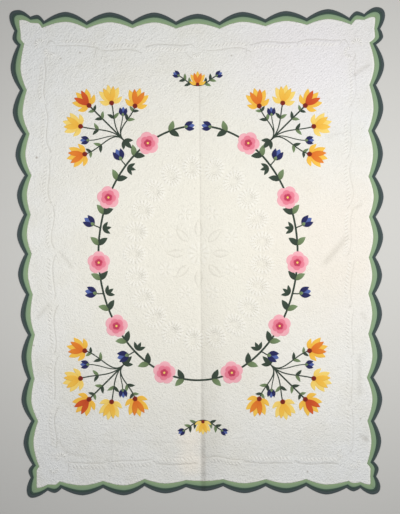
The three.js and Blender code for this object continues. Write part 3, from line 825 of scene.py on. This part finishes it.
def net_points(rounds, bars, rim, footprints):
    """The net between the figures: long cells along the quilting lines, shorter ones at the folds."""
    reach = (WIDTH + LENGTH) / 2
    across = np.arange(-reach, reach, NET_ACROSS)
    along = np.arange(-reach, reach, NET_FINE)
    v, u = (grid.ravel() for grid in np.meshgrid(across, along, indexing="ij"))
    xs, ys = (u - v) / math.sqrt(2), (u + v) / math.sqrt(2)
    coarse = np.round(u / NET_FINE).astype(int) % (NET_ALONG // NET_FINE) == 0
    past_fold = xs - fold_line(ys)
    fine = (past_fold > -FOLD_REACH * FINE_PAST_FOLD) & (past_fold < FOLD_EASE / 2) & (ys < FOLD_TOP)
    for start, end, half, _ in CREASES:
        fine |= distance_to_line(xs, ys, start, end) < half * FINE_PAST_CREASE
    keep = (coarse | fine) & (np.abs(xs) < WIDTH / 2) & (np.abs(ys) < LENGTH / 2)
    xs, ys, v = xs[keep], ys[keep], v[keep]

    keep = inside(rim, xs, ys) & clear_of(rounds, bars, xs, ys)
    keep &= (np.abs(xs - fold_line(ys)) > FOLD_COLUMNS[-1] + 3) | (ys > FOLD_TOP)
    for side in SIDES:
        dx, dy = xs - side["corner"][0], ys - side["corner"][1]
        side_along = dx * side["along"][0] + dy * side["along"][1]
        side_inset = dx * side["inward"][0] + dy * side["inward"][1]
        for start, end, insets, _ in side["ropes"]:
            middle = through_four(insets, np.clip((side_along - start) / (end - start), 0, 1))
            beside = (side_along > start - ROPE_ROOM) & (side_along < end + ROPE_ROOM + TAIL_ROOM)
            keep &= ~(beside & (np.abs(side_inset - middle) < ROPE_WIDTH + 1))
    xs, ys, v = xs[keep], ys[keep], v[keep]

    # Lines stop short of the sewn-on pieces, where the cloth rises a little under them
    under = np.zeros(len(xs))
    for start, end, radius in footprints:
        away = distance_to_line(xs, ys, start, end)
        under = np.maximum(under, 1 - smoothstep(away, radius, radius + ROUND_ROOM))
    wave = -np.cos(2 * math.pi * v / LINE_SPACING)
    shown = (1 - under) * line_strength(xs, ys)
    uneven = LINE_UNEVEN * np.random.default_rng(5).normal(size=len(xs)) * (1 - under)
    # The lines' grooves get painted shade, partly soil
    return list(zip(xs, ys, LINE_RISE * wave * shown + uneven, LINE_STITCHED * (wave < -0.9) * shown))


def line_strength(xs, ys):
    """The straight lines are drawn tighter in some places than in others."""
    return 0.65 + 0.35 * np.sin(xs / 143 + 1.1) * np.sin(ys / 187 - 0.4) * np.cos((xs - ys) / 389)


def fold_points(rounds, bars, rim):
    """Close rows of points down the fold, wherever no figure lies."""
    ys = np.arange(-LENGTH / 2, FOLD_TOP, FOLD_STEP)
    ys, across = (grid.ravel() for grid in np.meshgrid(ys, FOLD_COLUMNS))
    xs = fold_line(ys) + across
    keep = inside(rim, xs, ys) & clear_of(rounds, bars, xs, ys)
    xs, ys = xs[keep], ys[keep]
    nothing = np.zeros(len(xs))
    return list(zip(xs, ys, nothing, nothing))


# Meshes

def new_object(name, mesh):
    obj = bpy.data.objects.new(name, mesh)
    bpy.context.scene.collection.objects.link(obj)
    return obj


def make_mesh(name, vertices, faces, material, sharp_angle=60):
    """A smooth-shaded object from points in millimetres."""
    mesh = bpy.data.meshes.new(name)
    mesh.from_pydata([(x * MM, y * MM, z * MM) for x, y, z in vertices], [], faces)
    mesh.update()
    mesh.polygons.foreach_set("use_smooth", [True] * len(mesh.polygons))
    mesh.set_sharp_from_angle(angle=math.radians(sharp_angle))
    mesh.materials.append(material)
    return new_object(name, mesh)


def add_attribute(obj, name, values):
    attribute = obj.data.attributes.new(name, "FLOAT", "POINT")
    attribute.data.foreach_set("value", np.asarray(values, dtype=np.float32))


def faces_between(first, count, width, closed):
    """The faces that join rows of points, from a first one on. Closed rows end where they start."""
    faces = []
    for row in range(first, first + (count - 1) * width, width):
        for k in range(width if closed else width - 1):
            a, b = row + k, row + (k + 1) % width
            faces.append((a, b, b + width, a + width))
    return faces


def make_ground(material, footprints):
    """The white cloth: its quilted face, its flat underside and the edge between them."""
    outline = edge_loop(SAGE_DEPTH + SEAM_GAP / 2)
    face = QuiltedFace()
    for x, y in outline:
        # Painted shade along the seam, then a painted highlight on the cloth beside the band
        face.add(x, y, GROUND_EDGE_HEIGHT - GROUND_HEIGHT, SEAM_SHADE)
    for depth, lift, shading_and_soil in EDGE_RINGS:
        for x, y in edge_loop(SAGE_DEPTH + depth):
            face.add(x, y, lift, shading_and_soil)
    rounds, bars = quilted_figures(face)
    rim = edge_loop(SAGE_DEPTH + EDGE_RINGS[-1][0] + 3)
    face.points += net_points(rounds, bars, rim, footprints)
    face.points += fold_points(rounds, bars, rim)

    count = len(outline)
    flat = [Vector((x * MM, y * MM)) for x, y, _, _ in face.points]
    ring = [(i, (i + 1) % count) for i in range(count)]
    _, _, faces, origins, _, _ = delaunay_2d_cdt(flat, ring, [], 1, 1e-7)
    source = np.array(face.points)[[origin[0] for origin in origins]]
    xs, ys = source[:, 0], source[:, 1]
    creased = crease_depth(xs, ys)
    zs = GROUND_HEIGHT + source[:, 2] + swell(xs, ys) - fold_depth(xs, ys) - creased
    zs = np.maximum(zs, LEAST_HEIGHT)
    vertices = list(zip(xs, ys, zs))

    place = {origin[0]: i for i, origin in enumerate(origins)}
    first_below = len(vertices)
    vertices += [(x, y, 0) for x, y in outline]
    _, _, below_faces, _, _, _ = delaunay_2d_cdt(flat[:count], ring, [], 1, 1e-7)
    faces = list(faces)
    faces += [tuple(first_below + i for i in reversed(corners)) for corners in below_faces]
    for i, j in ring:
        faces.append((place[i], place[j], first_below + j, first_below + i))
    obj = make_mesh("quilted_cloth", vertices, faces, material)
    # The stitched shading, with painted shade, partly soil, added along the creases
    shading_and_soil = np.clip(source[:, 3] + CREASE_SHADE_AND_SOIL * np.maximum(creased, 0), -1, 1)
    add_attribute(obj, "stitched", list(shading_and_soil) + [0.0] * count)
    return obj


def make_strip(name, side, outer, inner, profile, material):
    """One strip of a band: its profile swept along the scallops, a little puckered."""
    edges = zip(edge_of_side(side, outer), edge_of_side(side, inner))
    rows = [(np.array(outside), np.array(into)) for outside, into in edges]
    for end, neighbour in ((0, 1), (-1, -2)):
        pulled = []
        for k in range(2):
            back = rows[neighbour][k] - rows[end][k]
            pulled.append(rows[end][k] + back / np.linalg.norm(back) * MITRE_GAP / 2)
        rows[end] = tuple(pulled)
    puckers = [(*PUCKERS[0], outer), (*PUCKERS[1], 2 * inner)]
    vertices = []
    run = 0.0
    for i, (outside, into) in enumerate(rows):
        if i:
            run += float(np.linalg.norm(outside - rows[i - 1][0]))
        short, long = (share * math.sin(run / step + start) for share, step, start in puckers)
        pucker = 1 + short + long
        for share, height in profile:
            x, y = lerp(outside, into, share)
            vertices.append((x, y, height * (pucker if height > PUCKERS_FROM else 1)))
    width = len(profile)
    faces = faces_between(0, len(rows), width, closed=True)
    faces.append(tuple(reversed(range(width))))
    faces.append(tuple(range(len(vertices) - width, len(vertices))))
    strip = make_mesh(name, vertices, faces, material, sharp_angle=75)
    add_attribute(strip, "tint", [share for share, _ in profile] * len(rows))
    return strip, ((abs(inner - outer) + TURNED_EDGE) * MM, run * MM)


# Sewn-on flowers

class SewnOn:
    """The sewn-on pieces, gathered by colour, and the ground that they cover."""

    def __init__(self):
        self.cloths = {}
        self.footprints = []

    def add_rows(self, colour, rows, closed=False):
        """Joins rows of x, y, lift and tint to a net that faces up."""
        points, faces = self.cloths.setdefault(colour, ([], []))
        width = len(rows[0])
        faces += faces_between(len(points), len(rows), width, closed)
        points.extend(point for row in rows for point in row)
        if closed:
            faces.append(tuple(range(len(points) - width, len(points))))

    def blade(self, colour, x, y, angle, length, width, fullness=0.85, bend=0.0, base=0.0, vein=0.0):
        """A leaf or petal from its root outwards. bend is how far it bows sideways, as a share of its
        length, and vein how deep its middle is pressed down."""
        rows = []
        for t in BLADE_STATIONS:
            half = max(width / 2 * math.sin(math.pi * t ** fullness) ** BLADE_ROUNDNESS, LEAST_HALF_WIDTH)
            bow = bend * length * math.sin(math.pi * t)
            row = []
            for across, lift in BLADE_ACROSS:
                if t in (0, 1):
                    lift = EDGE_LIFTS[0][1]
                elif across == 0:
                    lift -= vein
                place = turned_point(x, y, angle, t * length, across * half + bow)
                row.append((*place, base + lift, t))
            rows.append(row)
        self.add_rows(colour, rows[::-1])
        self.footprints.append(((x, y), turned_point(x, y, angle, length), width / 2))

    def disc(self, colour, x, y, radius, lobes=0, notch=0.0, turn=0.0, base=0.0):
        """A round or lobed piece, pressed down a little between its lobes."""
        rims = []
        for i in range(DISC_STEPS):
            angle = 2 * math.pi * i / DISC_STEPS
            lobe = abs(math.cos(lobes * (angle - turn) / 2)) ** LOBE_ROUNDNESS if lobes else 1
            rims.append((angle, radius * (1 - notch + notch * lobe), lobe))
        rows = []
        stations = [(1, inset, lift) for inset, lift in EDGE_LIFTS]
        stations += [(share, 0, DISC_LIFT) for share in DISC_RINGS]
        for share, inset, lift in stations:
            row = []
            for angle, rim, lobe in rims:
                reach = rim * share - inset
                pressed = NOTCH_PRESS * (1 - lobe) if lift >= EDGE_LIFTS[-1][1] else 0
                row.append((*turned_point(x, y, angle, reach), base + lift - pressed, reach / radius))
            rows.append(row)
        self.add_rows(colour, rows, closed=True)
        self.footprints.append(((x, y), (x, y), radius))

    def stem(self, path, width=STEM_WIDTH):
        """A green bias strip along a path, at even steps."""
        rows = []
        for i, (x, y) in enumerate(path):
            ahead, behind = path[min(i + 1, len(path) - 1)], path[max(i - 1, 0)]
            dx, dy = ahead[0] - behind[0], ahead[1] - behind[1]
            size = math.hypot(dx, dy)
            rows.append([
                (x + dy / size * across * width / 2, y - dx / size * across * width / 2, lift, 0.5)
                for across, lift in STEM_ACROSS
            ])
            if i:
                self.footprints.append((path[i - 1], path[i], width / 2))
        self.add_rows("stem_green", rows[::-1])

    def branch(self, start, start_angle, end, end_angle, width=THIN_STEM_WIDTH):
        """A green stem on a smooth curve. Gives its path."""
        path = curved_path(start, start_angle, end, end_angle)
        self.stem(path, width)
        return path

    def leaf_pair(self, path, share, size, colours, spread=48):
        (x, y), heading = along_path(path, share)
        for side, colour in zip((1, -1), colours):
            angle = heading + side * math.radians(spread)
            self.blade(colour, x, y, angle, *size, bend=-PAIR_BOW * side, vein=PAIR_VEIN)

    def petals(self, x, y, angle, size, rows, vein=0.0):
        for colour, turn, length, width, fullness, bend, base in rows:
            self.blade(
                colour, x, y, angle + turn, size * length, size * width, fullness, bend, base, vein
            )

    def bud(self, x, y, angle, size):
        """A closed blue flower: two outer petals over a lighter one, in a green cup."""
        self.petals(x, y, angle, size, BUD_PETALS)

    def lily(self, x, y, angle, size, colour):
        """An open flower seen from its side: petals fanned around a dark eye."""
        back = "yellow" if colour != "yellow" else "light_yellow"
        self.petals(x, y, angle, size, [(back, *petal) for petal in LILY_BACK], LILY_VEIN)
        self.petals(x, y, angle, size, [(colour, *petal) for petal in LILY_FRONT], LILY_VEIN)
        self.disc("maroon", x, y, size * LILY_EYE, base=LILY_EYE_HEIGHT)

    def pink(self, x, y, turn):
        """A round folk flower of three lobed layers around a small eye."""
        for colour, share, notch, steps, base in PINK_LAYERS:
            angle = turn + steps * math.pi / LOBES
            self.disc(colour, x, y, PINK_RADIUS * share, LOBES, notch, angle, base)
        self.disc("light_yellow", x, y, PINK_RADIUS * PINK_EYE, base=PINK_EYE_HEIGHT)


def along_path(path, share):
    """The point and heading a share of the way along a path."""
    place = share * (len(path) - 1)
    i = min(int(place), len(path) - 2)
    (ax, ay), (bx, by) = path[i], path[i + 1]
    t = place - i
    return (lerp(ax, bx, t), lerp(ay, by, t)), math.atan2(by - ay, bx - ax)


def curved_path(start, start_angle, end, end_angle):
    """A smooth path that leaves and arrives in the directions given."""
    distance = math.dist(start, end)
    pull = PATH_PULL * distance
    knots = [start, turned_point(*start, start_angle, pull), turned_point(*end, end_angle, -pull), end]
    steps = max(round(distance / STEM_STEP), 4)
    points = interpolate_bezier(*(Vector((*knot, 0)) for knot in knots), steps)
    return [(point.x, point.y) for point in points]


def add_wreath(sewn):
    x, y = WREATH_CENTRE
    for side in (1, -1):
        angles = np.radians(np.linspace(-90 - WREATH_CROSSING, 90 - WREATH_GAP, WREATH_STEPS))
        xs = x + side * WREATH_HALF_WIDTH * np.cos(angles)
        ys = y + WREATH_HALF_LENGTH * np.sin(angles)
        run = run_along(xs, ys)
        wanted = np.linspace(0, run[-1], round(run[-1] / STEM_STEP))
        path = list(zip(np.interp(wanted, run, xs).tolist(), np.interp(wanted, run, ys).tolist()))
        sewn.stem(path)
        for share in WREATH_LEAVES:
            sewn.leaf_pair(path, share, LEAF_SIZE, ("dark_leaf", "leaf_green")[::side])
        for share in WREATH_BUDS:
            place, heading = along_path(path, share)
            outwards = heading - side * math.radians(WREATH_BUD_ANGLE)
            knee = turned_point(*place, outwards, WREATH_BUD_STEM)
            sewn.branch(place, heading, knee, outwards)
            sewn.bud(*knee, outwards, WREATH_BUD_SIZE)
            inwards = heading + side * math.radians(TUFT_ANGLE)
            root = turned_point(*place, inwards, TUFT_START)
            for spread in TUFT_SPREADS:
                sewn.blade("dark_leaf", *root, inwards + spread, *TUFT_LEAF, vein=LEAF_VEIN)
        place, heading = along_path(path, 1)
        sewn.bud(*place, heading, WREATH_END_BUD_SIZE)
        for i, share in enumerate(WREATH_PINKS):
            place, heading = along_path(path, share)
            sewn.pink(*place, heading + PINK_TURN * i)


def add_fan(sewn, across, up):
    """The corner fan, mirrored by across and up, each 1 or -1."""

    def place(point):
        return (across * point[0], up * point[1])

    def turned(degrees):
        angle = math.radians(degrees)
        return math.atan2(up * math.sin(angle), across * math.cos(angle))

    root = place(FAN_ROOT)
    for i, (end, direction, colour) in enumerate(FAN_STEMS):
        width = FAN_MIDDLE_WIDTH if i == 2 else THIN_STEM_WIDTH
        path = sewn.branch(root, turned(FAN_HEADING), place(end), turned(direction), width)
        sewn.leaf_pair(path, *FAN_LEAVES, ("dark_leaf", "leaf_green"))
        if i % 2 == 0:
            sewn.leaf_pair(path, *FAN_UPPER_LEAVES, ("leaf_green", "dark_leaf"), FAN_UPPER_SPREAD)
        sewn.lily(*path[-1], turned(direction), FAN_LILY_SIZE, colour)
    for end, direction in FAN_BUDS:
        path = sewn.branch(root, turned(FAN_HEADING), place(end), turned(direction), FAN_BUD_WIDTH)
        sewn.bud(*path[-1], turned(direction), FAN_BUD_SIZE)
    for degrees, size in FAN_ROOT_LEAVES:
        sewn.blade("dark_leaf", *root, turned(degrees), *size, vein=LEAF_VEIN)


def add_sprig(sewn, centre, up):
    """A small flower with a curved stem to each side."""
    x, y = centre
    for side in (1, -1):
        heading = 0 if side > 0 else math.pi
        end_heading = heading + side * up * SPRIG_TURN
        end = (x + side * SPRIG_REACH, y + up * SPRIG_RISE)
        path = sewn.branch((x, y - up * SPRIG_RISE), heading, end, end_heading)
        for share in SPRIG_LEAF_PLACES:
            sewn.leaf_pair(path, share, SPRIG_LEAF, ("dark_leaf", "leaf_green"))
        sewn.bud(*path[-1], end_heading, SPRIG_BUD_SIZE)
    colour = "orange" if up > 0 else "yellow"
    sewn.lily(x, y - up * SPRIG_LILY_DROP, up * math.pi / 2, SPRIG_LILY_SIZE, colour)


def build_sewn_on(sewn, ground):
    """Lays every sewn-on piece on the white cloth's own height."""
    mesh = ground.data
    tree = BVHTree.FromPolygons(
        [vertex.co for vertex in mesh.vertices], [face.vertices for face in mesh.polygons]
    )
    down = Vector((0, 0, -1))
    pieces = []
    for colour, (points, faces) in sewn.cloths.items():
        vertices = []
        for x, y, lift, _ in points:
            hit, _, _, _ = tree.ray_cast(Vector((x * MM, y * MM, 1)), down)
            vertices.append((x, y, hit.z / MM + lift))
        material = cotton(f"{colour}_cotton", *SEWN_COLOURS[colour], tinted=True)
        piece = make_mesh(f"sewn_{colour}", vertices, faces, material, sharp_angle=70)
        add_attribute(piece, "tint", [point[3] for point in points])
        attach(piece, "root")
        pieces.append(piece)
    return pieces


# Materials

def linear(red, green, blue):
    """A colour of 0 to 255 as the shader takes it."""
    channels = []
    for value in (red, green, blue):
        c = value / 255
        channels.append(c / 12.92 if c <= 0.04045 else ((c + 0.055) / 1.055) ** 2.4)
    return (*channels, 1)


class Nodes:
    """Short ways to add and join a material's nodes."""

    def __init__(self, name):
        self.material = bpy.data.materials.new(name)
        self.material.use_nodes = True
        self.tree = self.material.node_tree
        self.shader = self.tree.nodes["Principled BSDF"]

    def add(self, kind, inputs=(), **settings):
        node = self.tree.nodes.new(kind)
        for key, value in settings.items():
            setattr(node, key, value)
        for key, value in dict(inputs).items():
            if hasattr(value, "is_output"):
                self.tree.links.new(value, node.inputs[key])
            else:
                node.inputs[key].default_value = value
        return node

    def mix(self, factor, a, b, blend="MIX"):
        inputs = {0: factor, 6: a, 7: b}
        return self.add("ShaderNodeMix", inputs, data_type="RGBA", blend_type=blend).outputs[2]

    def math(self, operation, a, b=0.0):
        return self.add("ShaderNodeMath", {0: a, 1: b}, operation=operation).outputs[0]

    def times(self, a, b):
        return self.math("MULTIPLY", a, b)

    def noise(self, place, scale, detail, roughness=0.5):
        inputs = {"Vector": place, "Scale": scale, "Detail": detail, "Roughness": roughness}
        return self.add("ShaderNodeTexNoise", inputs).outputs["Fac"]

    def ranged(self, value, start, end, most=1.0, **settings):
        """How far a value is from start to end, with most at the end."""
        inputs = {"Value": value, "From Min": start, "From Max": end, "To Max": most}
        return self.add("ShaderNodeMapRange", inputs, **settings).outputs[0]

    def bump(self, height, strength, distance, over=None, invert=False):
        inputs = {"Height": height, "Strength": strength, "Distance": distance}
        if over is not None:
            inputs["Normal"] = over
        return self.add("ShaderNodeBump", inputs, invert=invert).outputs["Normal"]

    def attribute(self, name):
        return self.add("ShaderNodeAttribute", attribute_name=name).outputs["Fac"]


def cotton(name, colour, shade, wrinkle=0.6, wrinkle_width=13, tinted=False, extra=None):
    """Woven cotton: threads, soft wrinkles and worn, uneven dye. shade is the colour its worn dye turns
    to, and on tinted cloth it is also the colour at a petal's root or a band's outer edge. A wrinkle's
    height and width are millimetres."""
    nodes = Nodes(name)
    place = nodes.add("ShaderNodeTexCoord").outputs["Object"]
    worn = nodes.ranged(nodes.noise(place, **BLOTCHES), *BLOTCH_RANGE)
    if tinted:
        rooted = nodes.times(nodes.math("SUBTRACT", 1.0, nodes.attribute("tint")), PETAL_ROOT_SHADE)
        worn = nodes.math("MAXIMUM", rooted, nodes.times(worn, TINTED_WEAR))
    base = nodes.mix(worn, linear(*colour), linear(*shade))
    mottle = nodes.noise(place, MOTTLE_SCALE, 3)
    base = nodes.mix(nodes.times(mottle, MOTTLE_SHARE), base, linear(*shade))

    # Threads over and under: the crossing of two sets of fine ridges
    scale = math.pi / 10 / (2 * THREAD * MM)
    warp, weft = (
        nodes.add(
            "ShaderNodeTexWave",
            {"Vector": place, "Scale": scale, "Distortion": 0.3, "Detail": 1.0},
            bands_direction=direction,
        ).outputs["Fac"]
        for direction in ("X", "Y")
    )
    weave = nodes.math("ADD", warp, weft)
    crumple = nodes.noise(place, 1000 / wrinkle_width, 4, 0.55)
    bump = nodes.bump(crumple, 1, wrinkle * MM, nodes.bump(weave, THREAD_BUMP, 0.1 * MM))
    if extra:
        base, bump = extra(nodes, place, base, bump)
    nodes.tree.links.new(base, nodes.shader.inputs["Base Color"])
    nodes.tree.links.new(bump, nodes.shader.inputs["Normal"])
    for key, value in COTTON_SHEEN.items():
        nodes.shader.inputs[key].default_value = value
    return nodes.material


def round_patch(nodes, place, centre, radius, strength):
    """How strong a soft round patch is at each place on the white cloth."""
    away = nodes.add(
        "ShaderNodeVectorMath",
        {0: place, 1: (centre[0] * MM, centre[1] * MM, GROUND_HEIGHT * MM)},
        operation="DISTANCE",
    ).outputs["Value"]
    return nodes.ranged(away, *(radius * share * MM for share in PATCH_EDGES), strength)


def painted_fold_shade(nodes, place, base, bump):
    """Painted shade along the fold: a dark line that widens towards the foot, and a faint painted
    shade to its right.
    """
    axes = nodes.add("ShaderNodeSeparateXYZ", {"Vector": place}).outputs
    lean = nodes.math("ADD", nodes.times(axes["Y"], FOLD_LEAN), FOLD_X * MM)
    away = nodes.math("SUBTRACT", axes["X"], lean)
    along = nodes.ranged(axes["Y"], *(y * MM for y in FOLD_SHADE_BETWEEN))
    near_foot = nodes.math("POWER", along, 4.0)

    def grown(share, values, scale=1):
        low, high = values
        return nodes.math("ADD", nodes.times(share, (high - low) * scale), low * scale)

    widths_away = nodes.math("DIVIDE", away, grown(near_foot, FOLD_LINE_WIDTHS, MM))
    sharp_side = nodes.ranged(widths_away, *FOLD_SHARP_SIDE)
    soft_side = nodes.ranged(widths_away, *FOLD_SOFT_SIDE)
    line = nodes.math("MINIMUM", sharp_side, soft_side)
    line = nodes.times(line, grown(near_foot, FOLD_LINE_SHADES))
    line = nodes.times(line, nodes.math("ADD", nodes.noise(place, FOLD_BREAK_SCALE, 3), FOLD_UNBROKEN))
    beside = nodes.ranged(away, FOLD_SIDE_WIDTH * MM, 0.0)
    beside = nodes.times(beside, nodes.math("GREATER_THAN", away, 0.0))
    beside = nodes.times(beside, grown(along, FOLD_SIDE_SHADES))
    below_top = nodes.math("LESS_THAN", axes["Y"], FOLD_TOP * MM)
    shade = nodes.times(nodes.math("MAXIMUM", line, beside), below_top)
    return nodes.mix(shade, base, FOLD_SHADE_COLOUR, "MULTIPLY"), bump


def white_cloth_tones_and_painted_light(nodes, place, base, bump):
    """The white cloth's creamy middle, its patches, the painted highlight on puffs, the painted shade,
    partly soil, in stitched lines, seams and creases, the old stains and the painted shade of the fold.
    """
    flattened = nodes.add(
        "ShaderNodeMapping", {"Vector": place, "Scale": (2 / (WIDTH * MM), 2 / (LENGTH * MM), 0)}
    ).outputs["Vector"]
    away = nodes.add("ShaderNodeVectorMath", {0: flattened}, operation="LENGTH").outputs["Value"]
    creamy = nodes.ranged(away, *CREAMY_BETWEEN, CREAMY_SHARE, interpolation_type="SMOOTHSTEP")
    base = nodes.mix(creamy, base, linear(*CREAM))
    for centre, radius, strength, colour in PATCHES:
        base = nodes.mix(round_patch(nodes, place, centre, radius, strength), base, linear(*colour))
    stitched = nodes.attribute("stitched")
    sunk = nodes.math("MAXIMUM", stitched, 0.0)
    puffed = nodes.math("MAXIMUM", nodes.times(stitched, -1.0), 0.0)
    # Painted highlight on puffs and on the cloth beside the sage band
    base = nodes.mix(nodes.times(puffed, HIGHLIGHT_SHARE), base, linear(*HIGHLIGHT_COLOUR))
    inputs = {"Vector": place, "Scale": STITCH_PRICKS}
    pricks = nodes.add("ShaderNodeTexVoronoi", inputs).outputs["Distance"]
    bump = nodes.bump(nodes.times(sunk, pricks), STITCH_BUMP, STITCH_BUMP * MM, bump, invert=True)
    # Painted shade, partly soil, in stitched lines, the seam and creases
    base = nodes.mix(nodes.times(sunk, SHADE_AND_SOIL_SHARE), base, linear(*SHADE_AND_SOIL_COLOUR))
    for centre, radius, strength in STAINS:
        base = nodes.mix(round_patch(nodes, place, centre, radius, strength), base, linear(*STAINED))
    return painted_fold_shade(nodes, place, base, bump)


# Building

def build_bands():
    bands = (
        ("sage", GREEN_DEPTH + SEAM_GAP / 2, SAGE_DEPTH + SEAM_GAP / 2, SAGE_PROFILE, SAGE),
        ("green", BINDING_DEPTH + SEAM_GAP / 2, GREEN_DEPTH + SEAM_GAP / 2, GREEN_PROFILE, GREEN),
        ("binding", 0, BINDING_DEPTH + SEAM_GAP / 2, BINDING_PROFILE, SLATE),
    )
    for band, outer, inner, profile, colours in bands:
        # The bands also carry the painted shade along the fold
        material = cotton(f"{band}_cotton", *colours, tinted=True, extra=painted_fold_shade)
        for side in SIDES:
            name = f"{band}_{side['name']}"
            strip, flat = make_strip(f"{name}_cloth", side, outer, inner, profile, material)
            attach(strip, "root")
            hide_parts(name)


def build_light():
    for name, (place, watts) in LAMPS.items():
        lamp = bpy.data.lights.new(name, "AREA")
        lamp.shape = "SQUARE"
        lamp.size = LAMP_SIZE
        lamp.energy = watts
        lamp.color = LAMP_COLOUR
        obj = new_object(name, lamp)
        obj.location = place
        obj.rotation_euler = (-Vector(place)).to_track_quat("-Z", "Y").to_euler()
        obj.visible_camera = False
    world = bpy.data.worlds.new("studio")
    world.use_nodes = True
    background = world.node_tree.nodes["Background"]
    background.inputs["Color"].default_value = SKY_COLOUR
    background.inputs["Strength"].default_value = SKY_STRENGTH
    bpy.context.scene.world = world


def build_floor():
    half, below = 40000, -0.3
    corners = [(-half, -half, below), (half, -half, below), (half, half, below), (-half, half, below)]
    nodes = Nodes("floor")
    nodes.shader.inputs["Base Color"].default_value = linear(*FLOOR)
    nodes.shader.inputs["Roughness"].default_value = 0.9
    floor = make_mesh("floor", corners, [(0, 1, 2, 3)], nodes.material)


def build_camera():
    camera = bpy.data.cameras.new("camera")
    camera.sensor_width = 36
    camera.lens = LENS
    obj = new_object("camera", camera)
    distance = camera.lens / camera.sensor_width * VIEW_LENGTH + GROUND_HEIGHT
    obj.location = (VIEW_CENTRE[0] * MM, VIEW_CENTRE[1] * MM, distance * MM)
    bpy.context.scene.camera = obj


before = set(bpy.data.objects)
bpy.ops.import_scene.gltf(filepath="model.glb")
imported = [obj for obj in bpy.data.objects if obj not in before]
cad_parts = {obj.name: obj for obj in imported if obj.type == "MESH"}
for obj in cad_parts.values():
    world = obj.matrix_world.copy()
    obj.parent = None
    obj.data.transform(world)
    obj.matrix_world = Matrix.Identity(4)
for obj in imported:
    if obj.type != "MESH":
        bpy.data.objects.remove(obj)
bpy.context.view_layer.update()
bpy.context.scene.view_settings.view_transform = "Standard"
build_camera()
build_light()
build_floor()
sewn = SewnOn()
add_wreath(sewn)
for across in (1, -1):
    for up in (1, -1):
        add_fan(sewn, across, up)
for centre, up in SPRIGS:
    add_sprig(sewn, centre, up)
white = cotton("white_cotton", *WHITE, WHITE_WRINKLE, WHITE_WRINKLE_WIDTH, extra=white_cloth_tones_and_painted_light)
ground = make_ground(white, sewn.footprints)
sewn_pieces = build_sewn_on(sewn, ground)
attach(ground, "root")
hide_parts("quilt_ground")
build_bands()
